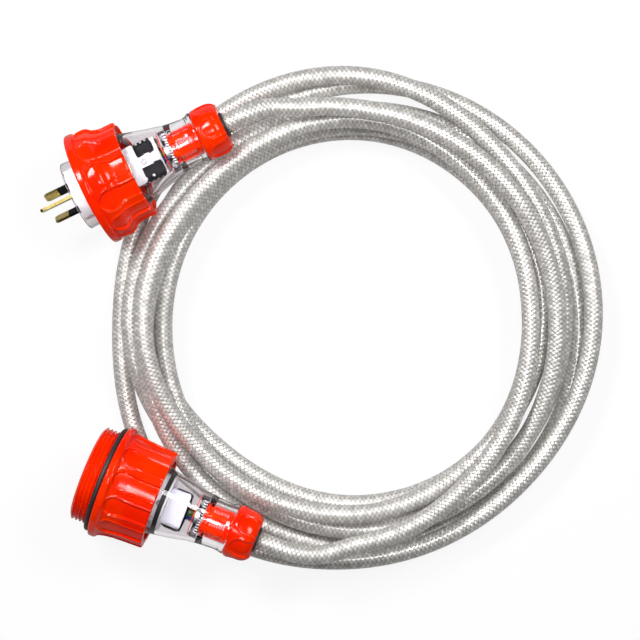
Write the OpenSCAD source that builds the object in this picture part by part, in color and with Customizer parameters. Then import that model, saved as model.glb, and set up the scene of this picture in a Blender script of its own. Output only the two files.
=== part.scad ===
// Screened extension lead for shore power: a three-pin plug with a captive locking ring, five metres
// of round cable laid in a loose coil, and a threaded socket. Millimetres, +Z up, floor at z = 0.
// Each connector is drawn along its own +Z axis, from its front face to the cable, with -X upwards,
// and is then laid down beside the coil.

/* [Cable] */
// Outer diameter of the cable
cable_d = 10.8; // [9:0.1:11]
// Radius of one insulated core inside the cable
core_r = 1.9; // [1.4:0.1:2.1]

/* [Coil] */
// Height from one layer of turns to the next
layer_step = 11.5; // [11.3:0.1:13]
// Middle of the coil, across
coil_x = 116.16; // [100:0.01:130]
// Middle of the coil, up the plan
coil_y = 6.46; // [-10:0.01:20]

/* [Plug] */
// Length of the bare nose in front of the locking ring
nose_len = 9; // [6:0.5:14]
// Radius of the nose
nose_r = 20.2; // [19.8:0.1:20.4]
// Length of the locking ring
ring_len = 28.9; // [26:0.1:34]
// Radius of the locking ring's front flange
ring_flange_r = 33.5; // [33:0.1:36]
// Distance from the ring's rear edge to the gland nut
plug_neck = 41.3; // [38:0.1:50]
// Upward tilt of the plug where it lies on the coil, degrees
plug_tilt = 4.6; // [3:0.1:6]

/* [Pins] */
// Width of an active or neutral pin
pin_w = 6.35; // [5.5:0.05:7]
// Thickness of every pin
pin_t = 1.63; // [1.4:0.01:1.9]
// Length of an active or neutral pin outside the plug
pin_len = 17.06; // [15:0.01:20]
// Width of the earth pin
earth_w = 9.08; // [6.35:0.01:9.1]
// Length of the earth pin outside the plug
earth_len = 19.94; // [18:0.01:22]
// Length of the insulating sleeve on an active or neutral pin
sleeve_len = 8.6; // [6:0.1:11]
// Distance from the axis to the active and neutral pins
line_pin_out = 7.92; // [7.7:0.01:8.2]
// Distance from the axis to the earth pin
earth_pin_out = 10.31; // [10:0.01:10.6]

/* [Socket] */
// Depth of the socket's mouth
mouth_depth = 21.6; // [18:0.1:24]
// Outer radius of the socket's thread
thread_r = 27.8; // [27:0.1:28]
// Pitch of the coupling thread
thread_pitch = 2.64; // [2:0.01:3]
// Radius of the socket's flange
socket_flange_r = 32.9; // [32.5:0.1:35]
// Length of the socket's orange shell
shell_len = 44; // [42:0.1:50]
// Distance from the shell's rear edge to the gland nut
socket_neck = 44.3; // [42:0.1:54]
// Upward tilt of the socket where it lies on the coil, degrees
socket_tilt = 3; // [2:0.1:5]

/* [Gland] */
// Length of a gland nut
nut_len = 15; // [14:0.1:20]
// Outer radius of a gland nut
nut_r = 15.3; // [15:0.1:17]
// Radius of the threaded spigot inside a gland nut
spigot_r = 12.4; // [11.8:0.1:12.6]
// Wall of the clear housings
wall = 2; // [1.6:0.1:2.4]

/* [Hidden] */
$fn = 64;

// colours
orange = [1.0, 0.27, 0.05];
clear = [0.85, 0.88, 0.9, 0.35];
cream = [0.95, 0.94, 0.9];
black = [0.08, 0.08, 0.09];
brass = [0.83, 0.68, 0.25];
steel = [0.75, 0.76, 0.78];
braid = [0.72, 0.72, 0.7];

// clearances
fit = 0.1;      // between fixed pieces
run = 0.4;      // between pieces that turn in each other
eps = 0.01;     // past a face that is cut away

// ---- where the connectors lie ----
plug_x = -44.34;
plug_y = 77.66;
plug_heading = 25.4;
socket_x = -37.04;
socket_y = -79.64;
socket_heading = -21.5;

// ---- plug, along its axis ----
ring_z0 = nose_len;
ring_z1 = ring_z0 + ring_len;
flange_land = 0.6;                       // rounding of the ring's front edge
thread_depth = 1.4;
ring_seal_step = 3.4;                    // from the coupling thread in to the ring's plain bore
gasket_groove = 0.4;                     // depth of the gasket's groove in the nose
o_ring_r = 1.5;
thread_len = 9.8;                        // threaded length of the socket
face_z = ring_z0 + thread_len + 1.5;     // front of the face gasket
gasket_t = 1.4;
collar_z0 = face_z + gasket_t + fit;
collar_z1 = collar_z0 + 3;
ring_minor_r = thread_r - 1;             // crests of the ring's inner thread
collar_r = ring_minor_r + 0.2;
ring_root_r = ring_minor_r + thread_depth;
ring_bore_r = thread_r - ring_seal_step;
ring_wall = ring_flange_r - ring_root_r; // the ring's section keeps its shares of this wall
gasket_seat_r = nose_r - gasket_groove;
body_seat_r = ring_bore_r - run;
snap_z = ring_z1 - 3.3;                  // shoulder that the snap ring sits against
snap_t = 1.4;
snap_in_r = body_seat_r - 1.6;
plug_nut_z = ring_z1 + plug_neck;
plug_exit = plug_nut_z + nut_len + 1.2;
term_z0 = ring_z1 - 1.9;                 // front of the plug's terminals
term_len = 12;
plug_block_z1 = term_z0 + term_len + 7;
plug_gland_room = 21.7;                  // from the end of the cable's sheath to the gland nut
plug_sheath_z0 = plug_nut_z - plug_gland_room;
insert_front = 1.2;

// ---- socket, along its axis ----
groove_z0 = thread_len;
groove_z1 = groove_z0 + 2 * o_ring_r;
socket_nut_z = shell_len + socket_neck;
socket_exit = socket_nut_z + nut_len + 1.1;
mouth_r = nose_r + 0.5;
insert_plate = 4.4;
insert_seat_r = mouth_r + 0.8;
insert_step_r = 16;                      // rear part of the insert, inside the clear body
cavity_z0 = mouth_depth + insert_plate;
cavity_r = thread_r - 3.8;
contact_z0 = mouth_depth + 2.4;
contact_len = 14;
socket_term_z0 = contact_z0 + contact_len;
socket_block_z1 = socket_term_z0 + 11;
socket_gland_room = 22.3;                // from the end of the cable's sheath to the gland nut
socket_sheath_z0 = socket_nut_z - socket_gland_room;
rear_flange_z0 = shell_len - 5;

// ---- gland, from the front face of its nut ----
spigot_len = 11.5;
spigot_bore_r = 10.2;
collet_r = 9.5;
grommet_r = spigot_bore_r - 0.3;
lip_r = 7.3;
nut_bore_r = lip_r + run + 0.2;
nut_floor = nut_len - 1.6;               // inner face of the nut's rear wall
washer_t = 0.7;
clamp_len = 4.4;
clamp_r = 12.4;
clamp_gap = 0.4;                         // from the end of the sheath to the clamp, and on to the collet

// ---- cable route ----
// How far each turn lies from the middle of the coil, for every eighth of a turn clockwise from
// north-west, and the layer that it lies in there
reach = [
    [136, 121, 115, 115, 120, 121, 117, 112],
    [112, 111, 106, 102, 106, 107, 109, 124],
    [129, 138, 140, 137, 133, 138, 148, 137],
    [143, 142, 126, 120, 120, 119, 124, 131],
    [125, 123, 127, 130, 132, 132, 129, 122],
    [113, 113, 111, 108, 105, 111, 116, 122],
    [116, 116, 106, 100, 109, 127, 137]];
deck = [
    [3, 3, 3, 2, 1, 1, 1, 1],
    [0, 0, 0, 0, 0, 0, 0, 0],
    [0, 0, 0, 1, 1, 1, 0, 0],
    [0, 1, 1, 1, 0, 0, 0, 1],
    [1, 0, 0, 0, 0, 0, 1, 2],
    [1, 1, 1, 1, 1, 2, 2, 3],
    [2, 2, 2, 2, 2, 3, 3]];
rings_per_turn = 24;
coil_sides = 6;
first_ring = 2;                          // the coil starts this many rings after north-west
last_ring = 159;
cable_r = cable_d / 2;
floor_z = cable_r * cos(30);             // centre of a turn that stands on its flat
lead_sides = 10;

function flat(rows) = [for (row = rows) each row];
function at(list, i) = list[min(max(i, 0), len(list) - 1)];

// a smooth curve through a list, at place u
function through(list, u) =
    let (i = floor(u), f = u - i,
        a = at(list, i - 1), b = at(list, i), c = at(list, i + 1), d = at(list, i + 2))
    (2 * b + (c - a) * f + (2 * a - 5 * b + 4 * c - d) * f * f
        + (3 * b - a - 3 * c + d) * f * f * f) / 2;

// an easy climb between the values of a list, at place u
function climb(list, u) =
    let (i = floor(u), f = u - i, a = at(list, i), b = at(list, i + 1))
    a + (b - a) * f * f * (3 - 2 * f);

function coil_point(ring, reaches, decks) =
    let (u = ring * 8 / rings_per_turn, bearing = 45 * u - 45, r = through(reaches, u))
    [coil_x + r * sin(bearing), coil_y + r * cos(bearing), floor_z + layer_step * climb(decks, u)];

function unit(v) = v / norm(v);

// the rings of the coil, with a straight stretch of one diameter added at each end
function coil_route() =
    let (reaches = flat(reach), decks = flat(deck),
        p = [for (i = [first_ring:last_ring]) coil_point(i, reaches, decks)], n = len(p))
    concat([p[0] - cable_d * unit(p[1] - p[0])], p, [p[n - 1] + cable_d * unit(p[n - 1] - p[n - 2])]);

// a point on a connector's axis, and the direction of the axis
function axis_dir(heading, tilt) =
    [cos(heading) * cos(tilt), sin(heading) * cos(tilt), sin(tilt)];
plug_rise = ring_flange_r * cos(plug_tilt) - (ring_z0 + flange_land) * sin(plug_tilt);
// the plug stands on its flange, and the socket's grip lies on the lowest turn of the cable
grip_rear_r = socket_flange_r - 4.3;
socket_rise = grip_rear_r + 2 * floor_z + 0.5 - (shell_len - 4) * sin(socket_tilt);
plug_origin = [plug_x, plug_y, plug_rise];
socket_origin = [socket_x, socket_y, socket_rise];

// a bend from point a, leaving along u, to point b, arriving along v
function bend(a, u, b, v, pull, n) =
    let (c1 = a + pull * u, c2 = b - pull * v)
    [for (i = [0:n]) let (t = i / n, s = 1 - t)
        s * s * s * a + 3 * s * s * t * c1 + 3 * s * t * t * c2 + t * t * t * b];

// a stretch from a gland's mouth to an end of the coil, straight for a diameter at the gland
function lead(mouth, dir, start, start_dir) =
    let (a = mouth + cable_d * dir, b = start - cable_r * start_dir)
    concat([mouth], bend(a, dir, b, start_dir, norm(b - a) * 0.36, 3), [start]);

function ring_dir(p, i) = unit(at(p, i + 1) - at(p, i - 1));

module tube(p, r, sides, across = [0, 0, 1]) {
    n = len(p);
    points = [for (i = [0:n - 1])
        let (dir = ring_dir(p, i), side = unit(cross(dir, across)), up = cross(side, dir))
        for (k = [0:sides - 1]) p[i] + r * (cos(k * 360 / sides) * side + sin(k * 360 / sides) * up)];
    walls = [for (i = [0:n - 2], k = [0:sides - 1])
        let (a = i * sides + k, b = i * sides + (k + 1) % sides)
        each [[a, b, b + sides], [a, b + sides, a + sides]]];
    first_cap = [for (k = [1:sides - 2]) [0, k + 1, k]];
    end = (n - 1) * sides;
    last_cap = [for (k = [1:sides - 2]) [end, end + k, end + k + 1]];
    polyhedron(points, concat(walls, first_cap, last_cap), convexity = 10);
}

// least distance between the turns, from quarter points of each stretch to the stretches beside it
function to_stretch(q, a, b) =
    let (ab = b - a, t = min(max((q - a) * ab / (ab * ab), 0), 1)) norm(q - a - t * ab);
function least_gap(p) =
    let (n = len(p))
    min([for (i = [1:n - 3], t = [1:6], m = [-2:2]) let (j = i + t * rings_per_turn + m)
        if (j >= 0 && j < n - 1) for (s = [0:0.25:0.75])
            to_stretch(p[i] + s * (p[i + 1] - p[i]), p[j], p[j + 1])]) - cable_d;
function route_len(p) =
    let (steps = [for (i = [1:len(p) - 1]) norm(p[i] - p[i - 1])]) steps * [for (s = steps) 1];

// ---- shared pieces ----
module lay_plug() {
    translate(plug_origin) rotate([0, 90 - plug_tilt, plug_heading]) children();
}

module lay_socket() {
    translate(socket_origin) rotate([0, 90 - socket_tilt, socket_heading]) children();
}

module turned(points) {
    rotate_extrude($fn = 96) polygon(points);
}

module tube_part(r_out, r_in, z0, z1) {
    translate([0, 0, z0]) difference() {
        cylinder(r = r_out, h = z1 - z0);
        translate([0, 0, -eps]) cylinder(r = r_in, h = z1 - z0 + 2 * eps);
    }
}

// a box given by its lowest and highest corners
module block(a, b) {
    translate(a) cube(b - a);
}

// crests of a thread, as points of a turned outline; rise is the crest's height over the root
function thread_teeth(root, rise, z0, count, pitch) =
    [for (i = [0:count - 1]) each [
        [root, z0 + i * pitch], [root + rise, z0 + (i + 0.3) * pitch],
        [root + rise, z0 + (i + 0.5) * pitch], [root, z0 + (i + 0.8) * pitch]]];

// shallow finger panels: round at the front, open at the rear
module panels(count, width, z0, z1, outer) {
    difference() {
        intersection() {
            union() for (i = [0:count - 1]) rotate([0, 0, (i + 0.5) * 360 / count])
                rotate([0, 90, 0]) linear_extrude(outer + 2) {
                    translate([-z0 - width / 2, 0]) circle(width / 2);
                    translate([-z1 - 1, -width / 2]) square([z1 - z0 - width / 2 + 1, width]);
                }
            cylinder(r = outer + 3, h = z1 + 3);
        }
        children();
    }
}

// places of the pins, with +Y outwards at the active and neutral pins
line_x = line_pin_out * sin(30);
line_y = line_pin_out * cos(30);
module at_line_pins() {
    for (angle = [60, -60]) rotate([0, 0, angle - 90]) translate([0, line_pin_out, 0]) children();
}
module at_earth_pin() {
    translate([-earth_pin_out, 0, 0]) children();
}

module blade(width, thick, z0, z1) {
    block([-width / 2, -thick / 2, z0], [width / 2, thick / 2, z1]);
}

// ---- plug ----
module plug_body_outline() {
    z = plug_nut_z;
    polygon([
        [nose_r, 0], [nose_r, face_z - fit], [gasket_seat_r, face_z - fit],
        [gasket_seat_r, collar_z0], [collar_r, collar_z0], [collar_r, collar_z1],
        [body_seat_r, collar_z1], [body_seat_r, snap_z], [snap_in_r, snap_z],
        [snap_in_r, snap_z + snap_t + fit], [21.5, ring_z1 - 0.3], [19.3, ring_z1 + 7.1],
        [17.4, ring_z1 + 14], [16.2, ring_z1 + 19.1], [14.9, z - 17.2], [14.1, z - 11],
        [13.6, z - 6], [13.9, z - 3.6], [14.8, z - 2], [15, z - 1.4], [15, z - 0.3],
        [spigot_r, z - 0.3], [spigot_r, z + spigot_len], [spigot_bore_r, z + spigot_len],
        [spigot_bore_r, z - 13.5], [14.9 - wall, z - 16.6], [16.2 - wall, ring_z1 + 19.1], [17.4 - wall, ring_z1 + 14],
        [19.3 - wall, ring_z1 + 7.1], [nose_r - 1.5, ring_z1 + 1], [nose_r - 1.5, 0]]);
}

module plug_body() {
    color(clear) lay_plug() rotate_extrude($fn = 96) plug_body_outline();
}

// radius of the ring at a share of its wall over the root of its thread
function ring_at(share) = ring_root_r + share * ring_wall;

module ring_outline() {
    z0 = ring_z0;
    z1 = ring_z1;
    teeth = [for (i = [0:3]) each [
        [ring_root_r, z0 + 1.4 + i * thread_pitch], [ring_minor_r, z0 + 2.2 + i * thread_pitch],
        [ring_minor_r, z0 + 2.7 + i * thread_pitch], [ring_root_r, z0 + 3.5 + i * thread_pitch]]];
    polygon(concat([
        [ring_root_r, z0], [ring_flange_r - flange_land, z0], [ring_flange_r, z0 + flange_land],
        [ring_flange_r, z0 + 3.6], [ring_at(0.87), z0 + 4.4], [ring_at(0.64), z0 + 4.7],
        [ring_at(0.64), z0 + 5.4], [ring_at(0.755), z0 + 5.8], [ring_at(0.755), z0 + 11.2],
        [ring_at(0.62), z0 + 13.2], [ring_at(0.265), z0 + 15.4], [ring_at(0.11), z0 + 17.2],
        [ring_at(0.03), z0 + 20], [ring_at(0.03), z1 - 1.2], [ring_at(-0.1), z1],
        [ring_bore_r + 2, z1], [ring_bore_r + 2, snap_z - 0.3], [ring_bore_r, snap_z - 0.3],
        [ring_bore_r, collar_z1 + 0.3], [collar_r + run, collar_z1 + 0.3],
        [collar_r + run, z0 + 14.2], [ring_root_r, z0 + 13]],
        [for (i = [len(teeth) - 1:-1:0]) teeth[i]]));
}

// a panel's floor lies this share of the wall under the ring's surface
panel_share = 0.2;
panel_w = ring_wall * 2.1;
module ring_panel_floor() {
    rotate_extrude($fn = 96) polygon([
        [0, ring_z0], [ring_at(0.755 - panel_share), ring_z0],
        [ring_at(0.755 - panel_share), ring_z0 + 11.2], [ring_at(0.62 - panel_share), ring_z0 + 13.2],
        [ring_at(0.265 - panel_share), ring_z0 + 15.4], [ring_at(0.11 - panel_share), ring_z0 + 17.2],
        [ring_at(0.03 - panel_share), ring_z0 + 20], [ring_at(0.03 - panel_share), ring_z1 + 9],
        [0, ring_z1 + 9]]);
}

module plug_locking_ring() {
    color(orange) lay_plug() rotate([0, 0, 10]) difference() {
        rotate_extrude($fn = 96) ring_outline();
        panels(12, panel_w, ring_z0 + 6, ring_z1, ring_flange_r) ring_panel_floor();
    }
}

shroud_x = -8.5;          // top face of the insert's rear block
module pin_slots(z0, z1, gap) {
    at_line_pins() blade(pin_w + 2 * gap, pin_t + 2 * gap, z0, z1);
    at_earth_pin() blade(earth_w + 2 * gap, pin_t + 2 * gap, z0, z1);
}

module at_line_terminals() {
    for (side = [-1, 1]) translate([line_x, side * line_y, 0]) children();
}

module plug_insert() {
    color(cream) lay_plug() difference() {
        union() {
            translate([0, 0, insert_front]) cylinder(r = nose_r - 1.5 - fit, h = 20 - insert_front);
            block([-12.5, -11, 20 - eps], [8.5, 11, term_z0 + 6]);
            block([shroud_x, -10.5, term_z0 + 6 - eps], [8.5, 10.5, plug_block_z1]);
            block([-12.5, -3, term_z0 + 6 - eps], [shroud_x + eps, 3, term_z0 + term_len + 2]);
        }
        pin_slots(insert_front - eps, term_z0, fit);
        at_line_terminals() block([-3.3, -2.6, term_z0 - eps], [3.3, 2.6, term_z0 + term_len + eps]);
        block([-11.4, -2.6, term_z0 - eps], [-5, 2.6, term_z0 + term_len + eps]);
        block([-7.4, -9.4, term_z0 + term_len], [7.4, 9.4, plug_block_z1 + eps]);
        at_line_terminals() translate([0, 0, term_z0 + 9]) rotate([0, -90, 0])
            cylinder(r = 1.8, h = 20, $fn = 24);
        translate([-11, 0, term_z0 + 9]) rotate([0, -90, 0]) cylinder(r = 1.8, h = 5, $fn = 24);
    }
}

module plug_earth_pin() {
    color(brass) lay_plug() at_earth_pin() difference() {
        blade(earth_w, pin_t, -earth_len, term_z0 - fit);
        for (side = [-1, 1]) translate([side * earth_w / 2, 0, -earth_len])
            rotate([0, side * 30, 0]) cube([1.6, 4, 6], center = true);
    }
}

// a pin is thinner inside its sleeve, so that the two are flush
sleeve_wall = 0.3;
module plug_line_pins() {
    color(brass) lay_plug() at_line_pins() {
        difference() {
            blade(pin_w, pin_t, -pin_len, -sleeve_len);
            for (side = [-1, 1]) translate([side * pin_w / 2, 0, -pin_len])
                rotate([0, side * 30, 0]) cube([1.6, 4, 6], center = true);
        }
        blade(pin_w - 2 * sleeve_wall, pin_t - 2 * sleeve_wall, -sleeve_len - eps, insert_front);
        blade(pin_w, pin_t, insert_front - eps, term_z0 - fit);
    }
}

module plug_pin_sleeves() {
    color(black) lay_plug() at_line_pins() difference() {
        blade(pin_w, pin_t, -sleeve_len, insert_front - fit);
        blade(pin_w - 2 * sleeve_wall + 0.02, pin_t - 2 * sleeve_wall + 0.02,
            -sleeve_len - eps, insert_front);
    }
}

module terminal(width, depth) {
    difference() {
        block([-depth / 2, -width / 2, term_z0], [depth / 2, width / 2, term_z0 + term_len - fit]);
        translate([0, 0, term_z0 + 5]) cylinder(r = core_r - 0.3, h = term_len, $fn = 24);
    }
}

module plug_terminals() {
    color(brass) lay_plug() {
        at_line_terminals() terminal(5, 6.4);
        translate([-8.2, 0, 0]) terminal(5, 6.2);
    }
}

// two black covers with raised ribs beside the middle wall of the insert
module plug_terminal_shrouds() {
    z0 = term_z0 + 6 + fit;
    color(black) lay_plug() for (side = [-1, 1]) difference() {
        union() {
            block([shroud_x - 1.2, min(side * 3.2, side * 9.4), z0],
                [shroud_x, max(side * 3.2, side * 9.4), z0 + 11]);
            for (i = [0:3]) block([shroud_x - 2.6, min(side * 3.6, side * 9.2), z0 + 0.4 + i * 2.9],
                [shroud_x - 1.2 + eps, max(side * 3.6, side * 9.2), z0 + 1.9 + i * 2.9]);
        }
        translate([0, side * line_y, term_z0 + 9]) rotate([0, -90, 0])
            cylinder(r = 2, h = 20, $fn = 24);
    }
}

module plug_terminal_screws() {
    color(steel) lay_plug() {
        for (side = [-1, 1]) translate([line_x - 3.2, side * line_y, term_z0 + 9])
            rotate([0, -90, 0]) grub_screw(8.5);
        translate([-11.3, 0, term_z0 + 9]) rotate([0, -90, 0]) grub_screw(3);
    }
}

module grub_screw(length) {
    difference() {
        cylinder(r = 1.6, h = length, $fn = 24);
        block([-0.3, -1.2, length - 0.8], [0.3, 1.2, length + eps]);
    }
}

// a core: straight out of its terminal, across to its place in the cable, straight to the sheath
module core(from, to, z0, z1) {
    a = [from[0], from[1], z0];
    b = [from[0], from[1], z0 + 2.5];
    c = [to[0], to[1], z1 - 2.2];
    d = [to[0], to[1], z1];
    steps = 5;
    mid = bend(b, [0, 0, 1], c, [0, 0, 1], (z1 - z0) * 0.22, steps);
    tube(concat([a + [0, 0, eps]], mid, [d]), core_r - fit, 8, [1, 0, 0]);
}

core_pcd = 2.75;
function core_place(angle) = [core_pcd * cos(angle), core_pcd * sin(angle)];

module plug_active_core() {
    color([0.55, 0.27, 0.12]) lay_plug()
        core([line_x, line_y], core_place(60), term_z0 + term_len, plug_sheath_z0);
}

module plug_neutral_core() {
    color([0.1, 0.3, 0.75]) lay_plug()
        core([line_x, -line_y], core_place(-60), term_z0 + term_len, plug_sheath_z0);
}

module plug_earth_core() {
    color([0.3, 0.65, 0.2]) lay_plug()
        core([-5.6, 0], core_place(180), term_z0 + term_len, plug_sheath_z0);
}

// two saddles that grip the sheath, seated on the inner wall of the housing
module cord_clamp(z0, reach_out) {
    for (side = [-1, 1]) difference() {
        intersection() {
            block([-4.5, min(side * 4, side * 16), z0], [4.5, max(side * 4, side * 16), z0 + clamp_len]);
            translate([0, 0, z0 - 1]) cylinder(r = reach_out, h = 8);
        }
        translate([0, 0, z0 - 1]) cylinder(r = cable_r + fit, h = 8);
        translate([-5, side * 8.2, z0 + clamp_len / 2]) rotate([0, 90, 0]) cylinder(r = 1.3, h = 10, $fn = 24);
    }
}

module clamp_screws(z0) {
    for (side = [-1, 1]) translate([-4.7, side * 8.2, z0 + clamp_len / 2]) rotate([0, 90, 0]) {
        cylinder(r = 1.2, h = 9, $fn = 24);
        translate([0, 0, -1.2 + fit]) cylinder(r = 2, h = 1.2, $fn = 24);
    }
}

plug_clamp_z = plug_sheath_z0 + clamp_gap;
module plug_cord_clamp() {
    color(black) lay_plug() cord_clamp(plug_clamp_z, clamp_r);
}

module plug_clamp_screws() {
    color(steel) lay_plug() clamp_screws(plug_clamp_z);
}

// ribbed compression sleeve round the sheath
module collet(z0, z1) {
    rib = 1.3;
    count = floor((z1 - z0 - 3) / rib);
    difference() {
        turned(concat([[cable_r + fit, z0], [collet_r - 0.8, z0]],
            [for (i = [0:count - 1]) each [[collet_r - 0.8, z0 + 0.8 + i * rib],
                [collet_r, z0 + 0.95 + i * rib], [collet_r, z0 + 1.45 + i * rib],
                [collet_r - 0.8, z0 + 1.6 + i * rib]]],
            [[collet_r - 0.8, z1], [cable_r + fit, z1]]));
        for (i = [0:5]) rotate([0, 0, 30 + 60 * i])
            block([cable_r - 1, -0.7, z0 - eps], [collet_r + 1, 0.7, z1 - 3]);
    }
}

// rubber bush in the spigot, whose lip stands out of the nut round the cable
module grommet(z, exit) {
    turned([[cable_r + fit, z], [grommet_r, z], [grommet_r, z + spigot_len + 0.6],
        [lip_r, z + spigot_len + 0.6], [lip_r, exit - 0.5], [lip_r - 0.6, exit],
        [cable_r + fit, exit]]);
}

washer_z = spigot_len + 0.7;
module slip_washer(z) {
    tube_part(spigot_r - 0.3, lip_r + run, z + washer_z, z + washer_z + washer_t);
}

module nut_outline(z) {
    polygon([
        [spigot_r + run, z], [nut_r - 0.6, z], [nut_r, z + 0.6], [nut_r, z + nut_len * 0.62],
        [nut_r - 0.5, z + nut_len * 0.78], [nut_r - 1.5, z + nut_len * 0.91],
        [nut_r - 3, z + nut_len], [nut_bore_r, z + nut_len], [nut_bore_r, z + nut_floor],
        [spigot_r + run, z + nut_floor]]);
}

module gland_nut(z, turn) {
    rotate([0, 0, turn]) difference() {
        rotate_extrude($fn = 96) nut_outline(z);
        panels(6, 9, z + nut_len * 0.3, z + nut_len, nut_r) rotate_extrude($fn = 96)
            polygon([[0, z - 1], [nut_r - 1, z - 1], [nut_r - 1, z + nut_len * 0.62],
                [nut_r - 1.5, z + nut_len * 0.78], [nut_r - 2.5, z + nut_len * 0.91],
                [nut_r - 4, z + nut_len], [nut_r - 4, z + nut_len + 9], [0, z + nut_len + 9]]);
    }
}

module sheath_tail(z0, z1) {
    translate([0, 0, z0]) cylinder(r = cable_r, h = z1 - z0);
}

module plug_collet() {
    color(orange) lay_plug() collet(plug_clamp_z + clamp_len + clamp_gap, plug_nut_z - fit);
}

module plug_grommet() {
    color(black) lay_plug() grommet(plug_nut_z, plug_exit);
}

module plug_slip_washer() {
    color(steel) lay_plug() slip_washer(plug_nut_z);
}

module plug_gland_nut() {
    color(orange) lay_plug() gland_nut(plug_nut_z, 30);
}

module plug_face_gasket() {
    color(black) lay_plug() tube_part(ring_minor_r - 0.6, gasket_seat_r + fit, face_z, face_z + gasket_t);
}

module plug_ring_retainer() {
    color(steel) lay_plug() difference() {
        tube_part(ring_bore_r + 1.4, snap_in_r + fit, snap_z + 0.05, snap_z + 0.05 + snap_t);
        block([0, -1.5, snap_z - 1], [40, 1.5, snap_z + snap_t + 1]);
    }
}

module plug_sheath_tail() {
    color(braid) lay_plug() sheath_tail(plug_sheath_z0, plug_exit);
}

// ---- socket ----
module shell_outline() {
    r = socket_flange_r;
    root = thread_r - thread_depth;
    f = groove_z1;
    polygon(concat([[mouth_r, 0], [root, 0]],
        thread_teeth(root, thread_depth, 0.2, 3, thread_pitch),
        [[root, groove_z0 - 0.9], [thread_r + 0.2, groove_z0 - 0.6],
            [thread_r + 0.2, groove_z0], [thread_r + 0.2, f],
            [r - 0.7, f], [r, f + 0.7], [r, f + 3.6], [r - 0.6, f + 4.4],
            [r - 2.1, f + 5.4], [r - 2.8, f + 8.5], [r - 3.6, f + 14], [r - 4, f + 20],
            [grip_rear_r, shell_len - 0.5], [grip_rear_r - 0.5, shell_len],
            [cavity_r, shell_len], [cavity_r, cavity_z0], [insert_seat_r, cavity_z0],
            [insert_seat_r, mouth_depth], [mouth_r, mouth_depth]]));
}

module shell_panel_floor() {
    r = socket_flange_r - 1;
    f = groove_z1;
    rotate_extrude($fn = 96) polygon([
        [0, f], [r - 2.1, f], [r - 2.1, f + 5.4], [r - 2.8, f + 8.5], [r - 3.6, f + 14],
        [r - 4, f + 20], [r - 4.3, shell_len - 0.5], [r - 4.3, shell_len + 9],
        [0, shell_len + 9]]);
}

module socket_front_shell() {
    color(orange) lay_socket() difference() {
        rotate([0, 0, 5]) difference() {
            rotate_extrude($fn = 96) shell_outline();
            panels(12, 10.5, groove_z1 + 5.2, shell_len, socket_flange_r) shell_panel_floor();
        }
        at_assembly_screws() translate([0, 0, cavity_z0]) cylinder(r = 1, h = 8, $fn = 24);
    }
}

module socket_o_ring() {
    color(black) lay_socket() translate([0, 0, (groove_z0 + groove_z1) / 2])
        rotate_extrude($fn = 96) translate([thread_r + 0.2 + o_ring_r + 0.05, 0])
            circle(o_ring_r - 0.05, $fn = 24);
}

contact_w = 2.6;         // half width of a contact across its slot
module contact_rooms(gap) {
    at_line_pins() block([-pin_w / 2 - 0.6 - gap, -contact_w - gap, contact_z0 - gap],
        [pin_w / 2 + 0.6 + gap, contact_w + gap, socket_block_z1 + 1]);
    at_earth_pin() block([-earth_w / 2 - 0.2 - gap, -contact_w - gap, contact_z0 - gap],
        [earth_w / 2 + 0.6 + gap, contact_w + gap, socket_block_z1 + 1]);
}

// radial holes over the socket's terminal screws
socket_screw_z = socket_term_z0 + 7;
module at_socket_screws() {
    at_line_pins() translate([0, 2.4, socket_screw_z]) rotate([-90, 0, 0]) children();
    at_earth_pin() translate([-3, 0, socket_screw_z]) rotate([0, -90, 0]) children();
}

insert_block_r = 17.2;
module socket_insert() {
    color(cream) lay_socket() difference() {
        union() {
            translate([0, 0, mouth_depth + fit]) cylinder(r = insert_seat_r - fit, h = insert_plate - fit);
            translate([0, 0, cavity_z0 - eps])
                cylinder(r = insert_block_r, h = rear_flange_z0 + 3 - cavity_z0);
            translate([0, 0, rear_flange_z0])
                cylinder(r = insert_step_r, h = socket_block_z1 - rear_flange_z0);
        }
        pin_slots(mouth_depth - eps, contact_z0 + eps, 0.35);
        contact_rooms(fit);
        at_socket_screws() cylinder(r = 1.8, h = 12, $fn = 24);
    }
}

// each contact is a folded strip, open at the front for the pin
module contact(width) {
    difference() {
        block([-width / 2, -contact_w, contact_z0], [width / 2, contact_w, socket_term_z0]);
        block([-width / 2 - 1, -pin_t / 2 - 0.15, contact_z0 - eps],
            [width / 2 + 1, pin_t / 2 + 0.15, socket_term_z0 - 1.2]);
    }
}

module socket_contacts() {
    color(brass) lay_socket() {
        at_line_pins() contact(pin_w + 1);
        at_earth_pin() contact(earth_w);
    }
}

earth_core_x = earth_pin_out - 3.1;
module socket_terminal(x0, x1, core_x) {
    difference() {
        block([x0, -2.4, socket_term_z0], [x1, 2.4, socket_block_z1 - fit]);
        translate([core_x, 0, socket_block_z1 - 4]) cylinder(r = core_r - 0.3, h = 12, $fn = 24);
    }
}

module socket_terminals() {
    color(brass) lay_socket() {
        at_line_pins() socket_terminal(-3, 3, 0);
        at_earth_pin() socket_terminal(-3, 5.1, earth_pin_out - earth_core_x);
    }
}

// white cover behind the terminals, rounded in plan and along its edges, open at both ends
cover_z0 = socket_block_z1 + fit;
cover_len = 11.5;
cover_x = 10.6;
cover_y = 10.5;
module rounded(size_a, size_b, height, r) {
    for (k = [0:1]) block([-size_a + k * r, -size_b + (1 - k) * r, 0],
        [size_a - k * r, size_b - (1 - k) * r, height]);
    for (x = [-1, 1], y = [-1, 1]) translate([x * (size_a - r), y * (size_b - r), 0])
        cylinder(r = r, h = height, $fn = 32);
}

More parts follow.
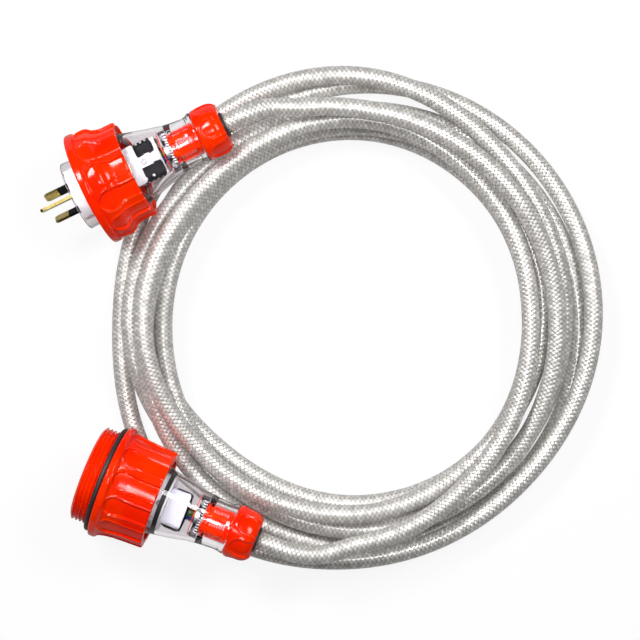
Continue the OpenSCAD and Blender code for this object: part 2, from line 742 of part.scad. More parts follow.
module socket_terminal_cover() {
    color([0.9, 0.91, 0.95]) lay_socket() translate([0, 0, cover_z0]) difference() {
        intersection() {
            rounded(cover_x, cover_y, cover_len, 2.5);
            translate([-cover_x - 1, 0, cover_len / 2]) rotate([0, 90, 0])
                rounded(cover_len / 2, cover_y, 2 * cover_x + 2, 2);
        }
        block([-cover_x + 1.2, -cover_y + 1.2, -1], [cover_x - 1.2, cover_y - 1.2, cover_len - 1.5]);
        translate([0, 0, cover_len - 3]) cylinder(r = 7.5, h = 5);
    }
}

module socket_terminal_screws() {
    color(steel) lay_socket() at_socket_screws() translate([0, 0, fit]) grub_screw(2.5);
}

module socket_body_outline() {
    z = socket_nut_z;
    s = shell_len;
    polygon([
        [cavity_r - fit, rear_flange_z0], [cavity_r - fit, s - 1.6], [20.6, s - 1.6], [19.4, s + 1.5],
        [18.7, s + 6], [17.5, s + 13], [16.4, s + 18], [15.4, z - 22], [14.6, z - 15],
        [14, z - 6.3], [14.2, z - 3.6], [14.7, z - 2], [14.8, z - 1.4], [14.8, z - 0.3],
        [spigot_r, z - 0.3], [spigot_r, z + spigot_len], [spigot_bore_r, z + spigot_len],
        [spigot_bore_r, z - 13.5], [15 - wall, z - 17], [15.4 - wall, z - 22], [16.4 - wall, s + 18], [17.5 - wall, s + 13],
        [18.7 - wall, s + 6], [19.4 - wall, s + 1.5], [insert_block_r + 0.3, s - 1.6],
        [insert_block_r + 0.3, rear_flange_z0]]);
}

assembly_r = 20.6;
module at_assembly_screws() {
    for (i = [0:3]) rotate([0, 0, 45 + 90 * i]) translate([assembly_r + 1.6, 0, 0]) children();
}

module socket_rear_body() {
    color(clear) lay_socket() difference() {
        rotate_extrude($fn = 96) socket_body_outline();
        at_assembly_screws() translate([0, 0, rear_flange_z0 - 1]) cylinder(r = 1, h = 9, $fn = 24);
    }
}

module socket_body_seal() {
    color(black) lay_socket()
        tube_part(cavity_r - fit, insert_block_r + 0.4, rear_flange_z0 - 2.2, rear_flange_z0 - fit);
}

module socket_assembly_screws() {
    color(steel) lay_socket() at_assembly_screws() {
        translate([0, 0, rear_flange_z0 + fit]) cylinder(r = 0.9, h = 3.2, $fn = 24);
    }
}

module socket_active_core() {
    color([0.55, 0.27, 0.12]) lay_socket()
        core([line_x, line_y], core_place(60), socket_block_z1, socket_sheath_z0);
}

module socket_neutral_core() {
    color([0.1, 0.3, 0.75]) lay_socket()
        core([line_x, -line_y], core_place(-60), socket_block_z1, socket_sheath_z0);
}

module socket_earth_core() {
    color([0.3, 0.65, 0.2]) lay_socket()
        core([-earth_core_x, 0], core_place(180), socket_block_z1, socket_sheath_z0);
}

socket_clamp_z = socket_sheath_z0 + clamp_gap;
module socket_cord_clamp() {
    color(black) lay_socket() cord_clamp(socket_clamp_z, clamp_r);
}

module socket_clamp_screws() {
    color(steel) lay_socket() clamp_screws(socket_clamp_z);
}

module socket_collet() {
    color(orange) lay_socket() collet(socket_clamp_z + clamp_len + clamp_gap, socket_nut_z - fit);
}

module socket_grommet() {
    color(black) lay_socket() grommet(socket_nut_z, socket_exit);
}

module socket_slip_washer() {
    color(steel) lay_socket() slip_washer(socket_nut_z);
}

module socket_gland_nut() {
    color(orange) lay_socket() gland_nut(socket_nut_z, 0);
}

module socket_sheath_tail() {
    color(braid) lay_socket() sheath_tail(socket_sheath_z0, socket_exit);
}

// ---- cable ----
module cord_plug_end() {
    dir = axis_dir(plug_heading, plug_tilt);
    p = coil_route();
    route = lead(plug_origin + plug_exit * dir, dir, p[0], unit(p[1] - p[0]));
    color(braid) tube(route, cable_r, lead_sides);
    echo(plug_end_length = route_len(route));
}

module cord_coil() {
    route = coil_route();
    color(braid) tube(route, cable_r, coil_sides);
    echo(coil_length = route_len(route), least_gap = least_gap(route));
}

module cord_socket_end() {
    dir = axis_dir(socket_heading, socket_tilt);
    p = coil_route();
    n = len(p);
    route = lead(socket_origin + socket_exit * dir, dir, p[n - 1], unit(p[n - 2] - p[n - 1]));
    color(braid) tube(route, cable_r, lead_sides);
    echo(socket_end_length = route_len(route));
}

plug_body();
plug_locking_ring();
plug_insert();
plug_earth_pin();
plug_line_pins();
plug_pin_sleeves();
plug_terminals();
plug_terminal_shrouds();
plug_terminal_screws();
plug_active_core();
plug_neutral_core();
plug_earth_core();
plug_cord_clamp();
plug_clamp_screws();
plug_collet();
plug_grommet();
plug_slip_washer();
plug_gland_nut();
plug_face_gasket();
plug_ring_retainer();
plug_sheath_tail();
socket_front_shell();
socket_o_ring();
socket_insert();
socket_contacts();
socket_terminals();
socket_terminal_cover();
socket_terminal_screws();
socket_rear_body();
socket_body_seal();
socket_assembly_screws();
socket_active_core();
socket_neutral_core();
socket_earth_core();
socket_cord_clamp();
socket_clamp_screws();
socket_collet();
socket_grommet();
socket_slip_washer();
socket_gland_nut();
socket_sheath_tail();
cord_plug_end();
cord_coil();
cord_socket_end();
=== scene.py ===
# %% [markdown]
# # A shore power lead
# Five metres of round cable, screened with galvanised wire under a clear sheath, lie in a loose coil.
# One end carries an orange and clear plug with a captive locking ring, and the other a threaded
# socket. The rigid parts come ready made from a CAD model, in metres, with +Z up. This notebook gives
# them their finish, and makes the parts whose shape needs more than flat facets: the cable, the
# moulded grips, the clear housings and the ribbed collets.

# %% Load the frame
import math

import bmesh
import bpy
import numpy as np
from mathutils import Matrix, Vector


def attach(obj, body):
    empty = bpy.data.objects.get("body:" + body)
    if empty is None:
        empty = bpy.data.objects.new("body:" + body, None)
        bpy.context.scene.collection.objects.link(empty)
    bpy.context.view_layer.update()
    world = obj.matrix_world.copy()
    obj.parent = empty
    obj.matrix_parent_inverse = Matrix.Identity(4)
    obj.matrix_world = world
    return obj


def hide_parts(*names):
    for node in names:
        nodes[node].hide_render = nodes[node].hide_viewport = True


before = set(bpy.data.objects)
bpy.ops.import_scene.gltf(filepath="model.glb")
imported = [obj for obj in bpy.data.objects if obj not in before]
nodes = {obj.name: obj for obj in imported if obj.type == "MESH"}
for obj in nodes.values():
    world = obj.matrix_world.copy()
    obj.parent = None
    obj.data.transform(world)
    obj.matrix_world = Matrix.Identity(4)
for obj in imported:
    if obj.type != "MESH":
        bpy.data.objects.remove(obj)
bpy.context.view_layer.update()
MM = 0.001

# %% [markdown]
# ## The camera
# The lead lies on a table and the camera looks straight down on it from 1.4 metres. A long lens keeps
# the perspective gentle: 374 mm of table fill the frame, so the focal length follows from the sensor.

# %% Camera
SENSOR_WIDTH = 36
CAMERA_HEIGHT = 1.4
VIEW_WIDTH = 0.3744
VIEW_CENTRE = (0.09496, 0.00707)


def show(name, data):
    """Puts a camera, a lamp or a mesh into the scene."""
    item = bpy.data.objects.new(name, data)
    bpy.context.collection.objects.link(item)
    return item


camera_data = bpy.data.cameras.new("overhead_camera")
camera_data.sensor_width = SENSOR_WIDTH
camera_data.lens = SENSOR_WIDTH * CAMERA_HEIGHT / VIEW_WIDTH
camera = show("overhead_camera", camera_data)
camera.location = (*VIEW_CENTRE, CAMERA_HEIGHT)
bpy.context.scene.camera = camera
bpy.context.scene.view_settings.view_transform = "Standard"
print("focal length", round(camera_data.lens, 2), "mm")

# %% [markdown]
# ## Where the two connectors lie
# Each connector has an axis of its own. Its pieces are easiest to describe along that axis, in
# millimetres from the front face (z = 0) to the cable, with -X upwards and +Y to the left. One matrix
# for each connector lays them on the table: a turn to the heading, a small upward tilt, and a shift.
# The plug stands on the rim of its ring, and the socket's shell rests just above one strand of cable.
# The cable of the CAD model has six sides and lies on a flat, so its middle is `floor_z` high.

# %% Placement
CABLE_R = 5.4
floor_z = CABLE_R * math.cos(math.radians(30))
PLUG_SPOT = (-44.34, 77.66)
PLUG_HEADING = 25.4
PLUG_TILT = 4.6
RING_RIM_R = 33.5
RIM_REST_Z = 9.6
SOCKET_SPOT = (-37.04, -79.64)
SOCKET_HEADING = -21.5
SOCKET_TILT = 3.0
SHELL_LEN = 44.0
SHELL_REAR_R = 28.6
SHELL_REST_Z = SHELL_LEN - 4
AIR_UNDER_SHELL = 0.5


def lay_down(spot, rise, heading, tilt):
    """The matrix that lays a connector down, in millimetres."""
    return (
        Matrix.Translation((*spot, rise))
        @ Matrix.Rotation(math.radians(heading), 4, "Z")
        @ Matrix.Rotation(math.radians(90 - tilt), 4, "Y")
    )


plug_lean = math.radians(PLUG_TILT)
plug_rise = RING_RIM_R * math.cos(plug_lean) - RIM_REST_Z * math.sin(plug_lean)
plug_place = lay_down(PLUG_SPOT, plug_rise, PLUG_HEADING, PLUG_TILT)
socket_lean = math.radians(SOCKET_TILT)
socket_rise = SHELL_REAR_R + 2 * floor_z + AIR_UNDER_SHELL - SHELL_REST_Z * math.sin(socket_lean)
socket_place = lay_down(SOCKET_SPOT, socket_rise, SOCKET_HEADING, SOCKET_TILT)
print("axis heights", round(plug_rise, 2), round(socket_rise, 2), "mm")

# %% [markdown]
# ## The route of the coil
# A loose coil is a circle that breathes: each turn swings out and in and climbs over the turns that
# lie across its way. The route says how far the cable lies from the middle of the coil at eight
# bearings of every turn, in whole millimetres, and on which layer it lies there. A smooth curve joins
# these distances, and an easy climb joins the layers.

# %% Coil
COIL_X, COIL_Y = 116.16, 6.46
LAYER = 11.5
BEARINGS = 8
START_BEARING = -45
RINGS_A_TURN = 24
FIRST_RING, LAST_RING = 2, 159
REACH = [
    [136, 121, 115, 115, 120, 121, 117, 112],
    [112, 111, 106, 102, 106, 107, 109, 124],
    [129, 138, 140, 137, 133, 138, 148, 137],
    [143, 142, 126, 120, 120, 119, 124, 131],
    [125, 123, 127, 130, 132, 132, 129, 122],
    [113, 113, 111, 108, 105, 111, 116, 122],
    [116, 116, 106, 100, 109, 127, 137],
]
DECK = [
    [3, 3, 3, 2, 1, 1, 1, 1],
    [0, 0, 0, 0, 0, 0, 0, 0],
    [0, 0, 0, 1, 1, 1, 0, 0],
    [0, 1, 1, 1, 0, 0, 0, 1],
    [1, 0, 0, 0, 0, 0, 1, 2],
    [1, 1, 1, 1, 1, 2, 2, 3],
    [2, 2, 2, 2, 2, 3, 3],
]
reach = [value for turn in REACH for value in turn]
deck = [value for turn in DECK for value in turn]


def at(values, i):
    """A value of a list that goes on level beyond its two ends."""
    return values[min(max(i, 0), len(values) - 1)]


def coil_point(ring):
    """The cable's centre at a ring, counted clockwise from north-west."""
    u = ring * BEARINGS / RINGS_A_TURN
    i, f = math.floor(u), u - math.floor(u)
    a, b, c, d = (at(reach, i + k) for k in (-1, 0, 1, 2))
    r = (2 * b + (c - a) * f + (2 * a - 5 * b + 4 * c - d) * f**2 + (3 * b - a - 3 * c + d) * f**3) / 2
    low, high = at(deck, i), at(deck, i + 1)
    climb = low + (high - low) * f * f * (3 - 2 * f)
    bearing = math.radians(360 / BEARINGS * u + START_BEARING)
    x, y = COIL_X + r * math.sin(bearing), COIL_Y + r * math.cos(bearing)
    return np.array([x, y, floor_z + LAYER * climb])


coil = [coil_point(ring) for ring in np.arange(4 * FIRST_RING, 4 * LAST_RING + 1) / 4]
print("coil of", round((LAST_RING - FIRST_RING) / RINGS_A_TURN, 2), "turns")

# %% [markdown]
# ## The leads to the glands
# From each gland the cable runs straight out for a diameter, bends down in a cubic curve, and meets
# the end of the coil along its own direction. The whole route is then relaxed a little, as a stiff
# cable does by itself, and cut into equal steps.

# %% Leads and whole route
PLUG_EXIT, SOCKET_EXIT = 95.4, 104.4
BEND_PULL = 0.36
BEND_STEPS = 8
ROUTE_STEP = 2.3
RELAXINGS = 6


def on_axis(place, z):
    """A point on a connector's axis, in millimetres."""
    return np.array(place @ Matrix.Translation((0, 0, z)).to_translation())


def axis_of(place):
    """The direction of a connector's axis, towards its cable."""
    return np.array(place.to_3x3().col[2])


def unit(v):
    """The vector of length one in the same direction."""
    return v / np.linalg.norm(v)


def bend(a, u, b, v, pull):
    """A cubic bend from a, leaving along u, to b, arriving along v."""
    c1, c2 = a + pull * u, b - pull * v
    t = np.linspace(0, 1, BEND_STEPS + 1)[:, None]
    return (1 - t) ** 3 * a + 3 * (1 - t) ** 2 * t * c1 + 3 * (1 - t) * t**2 * c2 + t**3 * b


def lead(mouth, out, start, start_dir):
    """The stretch from a gland's mouth to an end of the coil."""
    a, b = mouth + 2 * CABLE_R * out, start - CABLE_R * start_dir
    return np.vstack([mouth, bend(a, out, b, start_dir, np.linalg.norm(b - a) * BEND_PULL), start])


def even_steps(points, step):
    """The same line with points an equal step apart, and how far along each point is."""
    run = np.concatenate([[0], np.cumsum(np.linalg.norm(np.diff(points, axis=0), axis=1))])
    marks = np.linspace(0, run[-1], round(run[-1] / step) + 1)
    return np.stack([np.interp(marks, run, points[:, k]) for k in range(3)], axis=1), marks


first = coil[0] - 2 * CABLE_R * unit(coil_point(FIRST_RING + 1) - coil_point(FIRST_RING))
last = coil[-1] + 2 * CABLE_R * unit(coil_point(LAST_RING) - coil_point(LAST_RING - 1))
plug_mouth = on_axis(plug_place, PLUG_EXIT)
socket_mouth = on_axis(socket_place, SOCKET_EXIT)
plug_lead = lead(plug_mouth, axis_of(plug_place), first, unit(coil[0] - first))
socket_lead = lead(socket_mouth, axis_of(socket_place), last, unit(coil[-1] - last))
route, marks = even_steps(np.vstack([plug_lead, coil, socket_lead[::-1]]), ROUTE_STEP)
for _ in range(RELAXINGS):
    route[1:-1] = route[1:-1] / 2 + (route[:-2] + route[2:]) / 4
route, marks = even_steps(route, ROUTE_STEP)
print("cable", round(marks[-1] * MM, 4), "m on", len(route), "points")

# %% [markdown]
# ## The cable as a tube
# A bevelled curve would make this tube too, but a mesh built ring by ring keeps its roll under
# control: side and top are taken from the world's up at every ring, so the braid never twists. The
# first coordinate of its UV map runs along the cable, in metres, and the second once round it. Where
# the cable rests it is pressed a little flat, as a heavy cable is, and its ends stay round.

# %% Cable mesh
SIDES = 24
PRESSED = 0.35
LIFT = 0.1
ROUND_END = 30


def cable_mesh(name, points, marks):
    """A tube round the points, with the map that the braid follows."""
    ahead = np.gradient(points, axis=0)
    ahead /= np.linalg.norm(ahead, axis=1)[:, None]
    side = np.cross(ahead, [0, 0, 1])
    side /= np.linalg.norm(side, axis=1)[:, None]
    up = np.cross(side, ahead)
    free = np.clip(np.minimum(marks, marks[-1] - marks) / ROUND_END, 0, 1)
    rest = (free * free * (3 - 2 * free))[:, None, None]
    angle = np.arange(SIDES) * 2 * math.pi / SIDES
    across = CABLE_R * np.cos(angle)[None, :, None] * side[:, None, :]
    tall = (CABLE_R - PRESSED * rest) * np.sin(angle)[None, :, None] * up[:, None, :]
    rings = points[:, None, :] + across + tall + np.array([0, 0, LIFT]) * rest
    rings[..., 2] = np.maximum(rings[..., 2], 0)
    count = len(points)
    index = np.arange(count * SIDES).reshape(count, SIDES)
    beside = np.roll(index, -1, axis=1)
    quads = np.stack([index[:-1], index[1:], beside[1:], beside[:-1]], axis=-1).reshape(-1, 4)
    caps = [list(index[0]), list(index[-1][::-1])]
    mesh = bpy.data.meshes.new(name)
    mesh.from_pydata((rings.reshape(-1, 3) * MM).tolist(), [], quads.tolist() + caps)
    mesh.shade_smooth()
    along = marks * MM
    turn = np.arange(SIDES) / SIDES
    corner = np.zeros((count - 1, SIDES, 4, 2))
    corner[..., 0, 0] = corner[..., 3, 0] = along[:-1, None]
    corner[..., 1, 0] = corner[..., 2, 0] = along[1:, None]
    corner[..., 0, 1] = corner[..., 1, 1] = turn[None, :]
    corner[..., 2, 1] = corner[..., 3, 1] = turn[None, :] + 1 / SIDES
    flat = np.zeros((len(mesh.loops), 2))
    flat[: corner.size // 2] = corner.reshape(-1, 2)
    mesh.uv_layers.new(name="along_and_round").data.foreach_set("uv", flat.ravel())
    return mesh


cable = show("screened_cable", cable_mesh("screened_cable", route, marks))
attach(cable, "lead")
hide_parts("cord_plug_end", "cord_coil", "cord_socket_end")
print("cable faces", len(cable.data.polygons))

# %% [markdown]
# ## Node helpers
# A finish is a small graph of shader nodes. These helpers keep the graphs short. Most of them add one
# kind of node, set its inputs and give back its output. Others start a group with named sockets, so
# that an effect is built once and used with different values, or start a material.


# %% Helpers for node trees
def add(tree, kind, inputs=None, **settings):
    """Adds a node; inputs maps a socket's name or number to a value or to a socket to join."""
    node = tree.nodes.new(kind)
    for key, value in settings.items():
        setattr(node, key, value)
    for key, value in (inputs or {}).items():
        if isinstance(value, bpy.types.NodeSocket):
            tree.links.new(value, node.inputs[key])
        else:
            node.inputs[key].default_value = value
    return node


def calc(tree, operation, *values):
    """One step of arithmetic."""
    return add(tree, "ShaderNodeMath", dict(enumerate(values)), operation=operation).outputs[0]


def mix_colours(tree, factor, a, b):
    """A blend of two colours: a where factor is 0 and b where it is 1."""
    inputs = {"Factor": factor, "A": a, "B": b}
    return add(tree, "ShaderNodeMix", inputs, data_type="RGBA").outputs["Result"]


def fit(tree, value, low, high, to_low=0.0, to_high=1.0):
    """Stretches the span low to high to another span, and clamps what lies outside."""
    inputs = {"Value": value, "From Min": low, "From Max": high, "To Min": to_low, "To Max": to_high}
    return add(tree, "ShaderNodeMapRange", inputs).outputs[0]


def noise(tree, vector, **values):
    """A noise between 0 and 1."""
    inputs = {key.capitalize(): value for key, value in values.items()}
    return add(tree, "ShaderNodeTexNoise", {"Vector": vector, **inputs}).outputs[0]


def join(tree, sockets, links):
    """Links each output to the input of the given name."""
    for key, output in links.items():
        tree.links.new(output, sockets[key])


def new_group(name, inputs, outputs):
    """A shader group: inputs maps a name to its default value, outputs maps a name to its kind."""
    group = bpy.data.node_groups.new(name, "ShaderNodeTree")
    for key, value in inputs.items():
        kind = "NodeSocketColor" if isinstance(value, tuple) else "NodeSocketFloat"
        group.interface.new_socket(key, in_out="INPUT", socket_type=kind).default_value = value
    for key, kind in outputs.items():
        group.interface.new_socket(key, in_out="OUTPUT", socket_type="NodeSocket" + kind)
    return group, group.nodes.new("NodeGroupInput").outputs, group.nodes.new("NodeGroupOutput").inputs


def put_group(tree, group, **inputs):
    """Places a group in a material with its own values, and gives back its outputs."""
    node = tree.nodes.new("ShaderNodeGroup")
    node.node_tree = group
    for key, value in inputs.items():
        node.inputs[key.capitalize()].default_value = value
    return node.outputs


def new_finish(name, **shader):
    """A material with one Principled shader; returns the material, its tree and that shader."""
    material = bpy.data.materials.new(name)
    material.use_nodes = True
    tree = material.node_tree
    bsdf = tree.nodes["Principled BSDF"]
    for key, value in shader.items():
        bsdf.inputs[key.replace("_", " ").title().replace("Ior", "IOR")].default_value = value
    return material, tree, bsdf


def dress(tree, bsdf, skin, bump):
    """Gives a shader the colour, the roughness and, as a bump in millimetres, the height of a group."""
    relief = add(tree, "ShaderNodeBump", {"Height": skin["Height"], "Distance": bump * MM, "Strength": 1.0})
    tree.links.new(skin["Color"], bsdf.inputs["Base Color"])
    tree.links.new(skin["Roughness"], bsdf.inputs["Roughness"])
    tree.links.new(relief.outputs[0], bsdf.inputs["Normal"])


print("node helpers ready")

# %% [markdown]
# ## Group: moulded skin
# No moulding is perfectly even. A coarse noise shifts the tone a little, as pigment does, another
# breaks up the gloss with handling marks, and the coarse and a fine one together lift the surface by
# one or two hundredths of a millimetre.

# %% Moulded skin
moulded, given, made = new_group(
    "moulded_skin",
    {
        "Light": (1.0, 1.0, 1.0, 1.0), "Dark": (0.5, 0.5, 0.5, 1.0),
        "Gloss": 0.2, "Rubbed": 0.1, "Grain": 0.3,
    },
    {"Color": "Color", "Roughness": "Float", "Height": "Float"},
)
spot = add(moulded, "ShaderNodeTexCoord").outputs["Object"]
cloud = noise(moulded, spot, scale=45.0, detail=3.0)
grain = noise(moulded, spot, scale=900.0, detail=4.0, roughness=0.6)
rub = noise(moulded, spot, scale=160.0, detail=6.0, distortion=0.8)
worn = fit(moulded, rub, 0.5, 0.75)
join(moulded, made, {
    "Color": mix_colours(moulded, fit(moulded, cloud, 0.35, 0.65), given["Dark"], given["Light"]),
    "Roughness": calc(moulded, "MULTIPLY_ADD", worn, given["Rubbed"], given["Gloss"]),
    "Height": calc(moulded, "MULTIPLY_ADD", grain, given["Grain"], cloud),
})
print(moulded.name, "has", len(moulded.nodes), "nodes")

# %% [markdown]
# ## Plastics and rubbers
# Each is the moulded skin with two tones and a gloss of its own. The orange is glossy and nearly
# smooth, the white and the pale plastics are satin, and the black nylon and the rubber are dull.


# %% Moulded finishes
def moulded_finish(name, light, dark, gloss, rubbed=0.08, grain=0.3, bump=0.02, **shader):
    """A moulded plastic or rubber: two tones, a gloss, rubbed marks and a grain."""
    material, tree, bsdf = new_finish(name, **shader)
    tones = {"light": (*light, 1), "dark": (*dark, 1)}
    dress(tree, bsdf, put_group(tree, moulded, **tones, gloss=gloss, rubbed=rubbed, grain=grain), bump)
    return material


orange = moulded_finish(
    "orange_housing", (0.97, 0.032, 0.0), (0.88, 0.013, 0.0),
    gloss=0.12, grain=0.2, bump=0.01, specular_ior_level=0.32,
)
white = moulded_finish(
    "white_insert", (0.86, 0.86, 0.87), (0.78, 0.77, 0.78), gloss=0.35, rubbed=0.1, grain=0.4,
)
lavender = moulded_finish(
    "pale_terminal_cover", (0.70, 0.71, 0.77), (0.58, 0.60, 0.68), gloss=0.3, rubbed=0.1, grain=0.4,
)
black = moulded_finish(
    "black_nylon", (0.012, 0.011, 0.013), (0.006, 0.006, 0.007),
    gloss=0.5, rubbed=0.2, grain=0.6, specular_ior_level=0.12,
)
rubber = moulded_finish(
    "black_rubber", (0.030, 0.030, 0.032), (0.016, 0.016, 0.018), gloss=0.5, rubbed=0.15, grain=0.8,
)
brown = moulded_finish("brown_core", (0.16, 0.055, 0.02), (0.11, 0.035, 0.012), gloss=0.4)
blue = moulded_finish("blue_core", (0.02, 0.09, 0.42), (0.015, 0.06, 0.30), gloss=0.4)
green = moulded_finish("earth_core_green", (0.04, 0.11, 0.02), (0.02, 0.06, 0.01), gloss=0.4)
print("moulded finishes", [finish.name for finish in (orange, white, lavender, black, rubber)])

# %% [markdown]
# ## Group: worked metal
# Pins, terminals and screws are cut from bar. Stretched noise gives the drawing lines, which also
# vary the gloss, and a soft cloud gives the tarnish.

# %% Worked metal
metal, given, made = new_group(
    "worked_metal",
    {"Bright": (1.0, 1.0, 1.0, 1.0), "Tarnish": (0.4, 0.4, 0.4, 1.0), "Gloss": 0.25, "Lines": 0.15},
    {"Color": "Color", "Roughness": "Float", "Height": "Float"},
)
spot = add(metal, "ShaderNodeTexCoord").outputs["Object"]
along_the_bar = {"Vector": spot, "Rotation": (0, 0, 0.3), "Scale": (300.0, 2600.0, 2600.0)}
drawn = add(metal, "ShaderNodeMapping", along_the_bar)
lines = noise(metal, drawn.outputs[0], scale=1.0, detail=3.0)
cloud = noise(metal, spot, scale=260.0, detail=5.0)
join(metal, made, {
    "Color": mix_colours(metal, fit(metal, cloud, 0.45, 0.75), given["Bright"], given["Tarnish"]),
    "Roughness": calc(metal, "MULTIPLY_ADD", lines, given["Lines"], given["Gloss"]),
    "Height": lines,
})
print(metal.name, "has", len(metal.nodes), "nodes")

# %% [markdown]
# ## Metals
# Brass pins, bright and blackened steel and the strands of the screen are the same worked metal. They
# differ in colour, in gloss and in how strongly the drawing lines vary it.

# %% Metal finishes
METAL_BUMP = 0.01


def metal_finish(name, bright, tarnish, gloss, lines=0.15):
    """A worked metal: a bright and a tarnished tone, a gloss and drawing lines."""
    material, tree, bsdf = new_finish(name, metallic=1.0)
    tones = {"bright": (*bright, 1), "tarnish": (*tarnish, 1)}
    dress(tree, bsdf, put_group(tree, metal, **tones, gloss=gloss, lines=lines), METAL_BUMP)
    return material


brass = metal_finish("brass_pin", (0.78, 0.62, 0.22), (0.55, 0.42, 0.13), gloss=0.22)
braid_tail = metal_finish("screen_wire", (0.86, 0.86, 0.85), (0.55, 0.55, 0.54), gloss=0.3, lines=0.3)
zinc = metal_finish("black_zinc", (0.20, 0.20, 0.21), (0.10, 0.10, 0.11), gloss=0.3)
steel = metal_finish("plated_steel", (0.72, 0.72, 0.73), (0.5, 0.5, 0.52), gloss=0.2)
print("metal finishes", [finish.name for finish in (brass, braid_tail, zinc, steel)])

# %% [markdown]
# ## Group: wire braid
# The screen is woven from flat bands of wire that wind round the cable both ways and pass over one
# and under one. In the unrolled cable, one set of bands are strips of the value *round + along* and
# the other of *round - along*. The whole part of each value counts the strip, its fraction says where
# across the strip a point lies, and the counts together say which strip is on top. Only the top
# strip's arch and its single wires reach the height.

# %% Wire braid
braid, given, made = new_group(
    "wire_braid",
    {"Pitch": 2.6, "Bands": 8.0, "Wires": 3.0},
    {"Height": "Float", "Shine": "Float", "Gap": "Float"},
)
chart = add(braid, "ShaderNodeUVMap", uv_map="along_and_round")
split = add(braid, "ShaderNodeSeparateXYZ", {0: chart.outputs[0]}).outputs
along = calc(braid, "DIVIDE", calc(braid, "MULTIPLY", split[0], 1 / MM), given["Pitch"])
around = calc(braid, "MULTIPLY", split[1], given["Bands"])
left = calc(braid, "ADD", around, along)
right = calc(braid, "SUBTRACT", around, along)
left_no, right_no = calc(braid, "FLOOR", left), calc(braid, "FLOOR", right)
left_in, right_in = calc(braid, "FRACT", left), calc(braid, "FRACT", right)
crossing = calc(braid, "FLOORED_MODULO", calc(braid, "ADD", left_no, right_no), 2.0)
left_on_top = calc(braid, "LESS_THAN", crossing, 0.5)
across = add(braid, "ShaderNodeMix", {"Factor": left_on_top, "A": right_in, "B": left_in}).outputs[0]
lengthways = add(braid, "ShaderNodeMix", {"Factor": left_on_top, "A": left_in, "B": right_in}).outputs[0]


def arch(value):
    """Half a wave over each whole step of a value."""
    return calc(braid, "SINE", calc(braid, "MULTIPLY", value, math.pi))


band = arch(across)
crown = calc(braid, "POWER", calc(braid, "MAXIMUM", band, 0.0001), 0.6)
wire = calc(braid, "ABSOLUTE", arch(calc(braid, "MULTIPLY", across, given["Wires"])))
height = calc(braid, "MULTIPLY_ADD", crown, 0.6, calc(braid, "MULTIPLY", wire, 0.22))
cell = add(braid, "ShaderNodeCombineXYZ", {0: left_no, 1: right_no, 2: left_on_top})
glint = add(braid, "ShaderNodeTexWhiteNoise", {"Vector": cell.outputs[0]}, noise_dimensions="3D")
covered = calc(braid, "MINIMUM", calc(braid, "MULTIPLY", band, 2.2), 1.0)
join(braid, made, {
    "Height": calc(braid, "MULTIPLY_ADD", arch(lengthways), 0.35, height),
    "Shine": glint.outputs["Value"],
    "Gap": calc(braid, "SUBTRACT", 1.0, covered),
})
print("braid inputs", [socket.name for socket in given if socket.name])

# %% [markdown]
# ## The screened sheath
# Each crossing of the braid gets a grey of its own, and the gaps between bands are dark. The clear
# sheath over it is a coat, strongest on the crowns of the weave. A tube of glass round a second tube
# would be truer, but at this size it would look the same and take far longer.

# %% Screened sheath
screened, tree, bsdf = new_finish("screened_sheath", metallic=0.45, coat_roughness=0.16)
weave = put_group(tree, braid, pitch=2.6, bands=8.0, wires=3.0)
zinc_grey = mix_colours(tree, weave["Shine"], (0.62, 0.6, 0.57, 1), (0.97, 0.942, 0.91, 1))
relief = add(tree, "ShaderNodeBump", {"Height": weave["Height"], "Distance": 0.36 * MM, "Strength": 1.0})
join(tree, bsdf.inputs, {
    "Base Color": mix_colours(tree, weave["Gap"], zinc_grey, (0.07, 0.064, 0.056, 1)),
    "Roughness": fit(tree, weave["Shine"], 0.0, 1.0, 0.45, 0.3),
    "Normal": relief.outputs[0],
    "Coat Weight": fit(tree, weave["Height"], 0.35, 1.0, 0.15, 1.0),
})
cable.data.materials.append(screened)
print("cable finish", screened.name)

# %% [markdown]
# ## Clear polycarbonate
# The housings are glass-clear with real walls, so their edges darken by themselves. Lamps would cast
# a black shadow through such glass. A Transparent shader, mixed in for shadow rays only, lets them
# light what is inside.

# %% Clear finish
clear, tree, bsdf = new_finish("clear_housing", transmission_weight=1.0, ior=1.5, roughness=0.03)
bsdf.inputs["Base Color"].default_value = (0.86, 0.83, 0.85, 1)
path = add(tree, "ShaderNodeLightPath").outputs
through = add(tree, "ShaderNodeBsdfTransparent", {"Color": (0.9, 0.9, 0.91, 1)})
shaders = {0: path["Is Shadow Ray"], 1: bsdf.outputs[0], 2: through.outputs[0]}
mixed = add(tree, "ShaderNodeMixShader", shaders)
tree.links.new(mixed.outputs[0], tree.nodes["Material Output"].inputs["Surface"])
print("clear finish", clear.name)

# %% [markdown]
# ## Outlines
# Most pieces of a connector are round about its axis. A section is drawn as points (radius, z) in
# millimetres. Its corners are rounded off, because no moulding has a knife edge, and where its skin
# will be shaped it is cut into short steps.

# %% Helpers for outlines
CORNER_POINTS = 4


def soft_corners(points, radius, closed=True):
    """The same outline with every corner rounded off."""
    out = []
    count = len(points)
    for i, p in enumerate(points):
        if not closed and i in (0, count - 1):
            out.append(tuple(p))
            continue
        p, a, b = (np.array(q, float) for q in (p, points[i - 1], points[(i + 1) % count]))
        cut = min(radius, 0.4 * np.linalg.norm(a - p), 0.4 * np.linalg.norm(b - p))
        start, end = p + cut * unit(a - p), p + cut * unit(b - p)
        for t in np.linspace(0, 1, CORNER_POINTS):
            out.append(tuple((1 - t) ** 2 * start + 2 * (1 - t) * t * p + t * t * end))
    return out


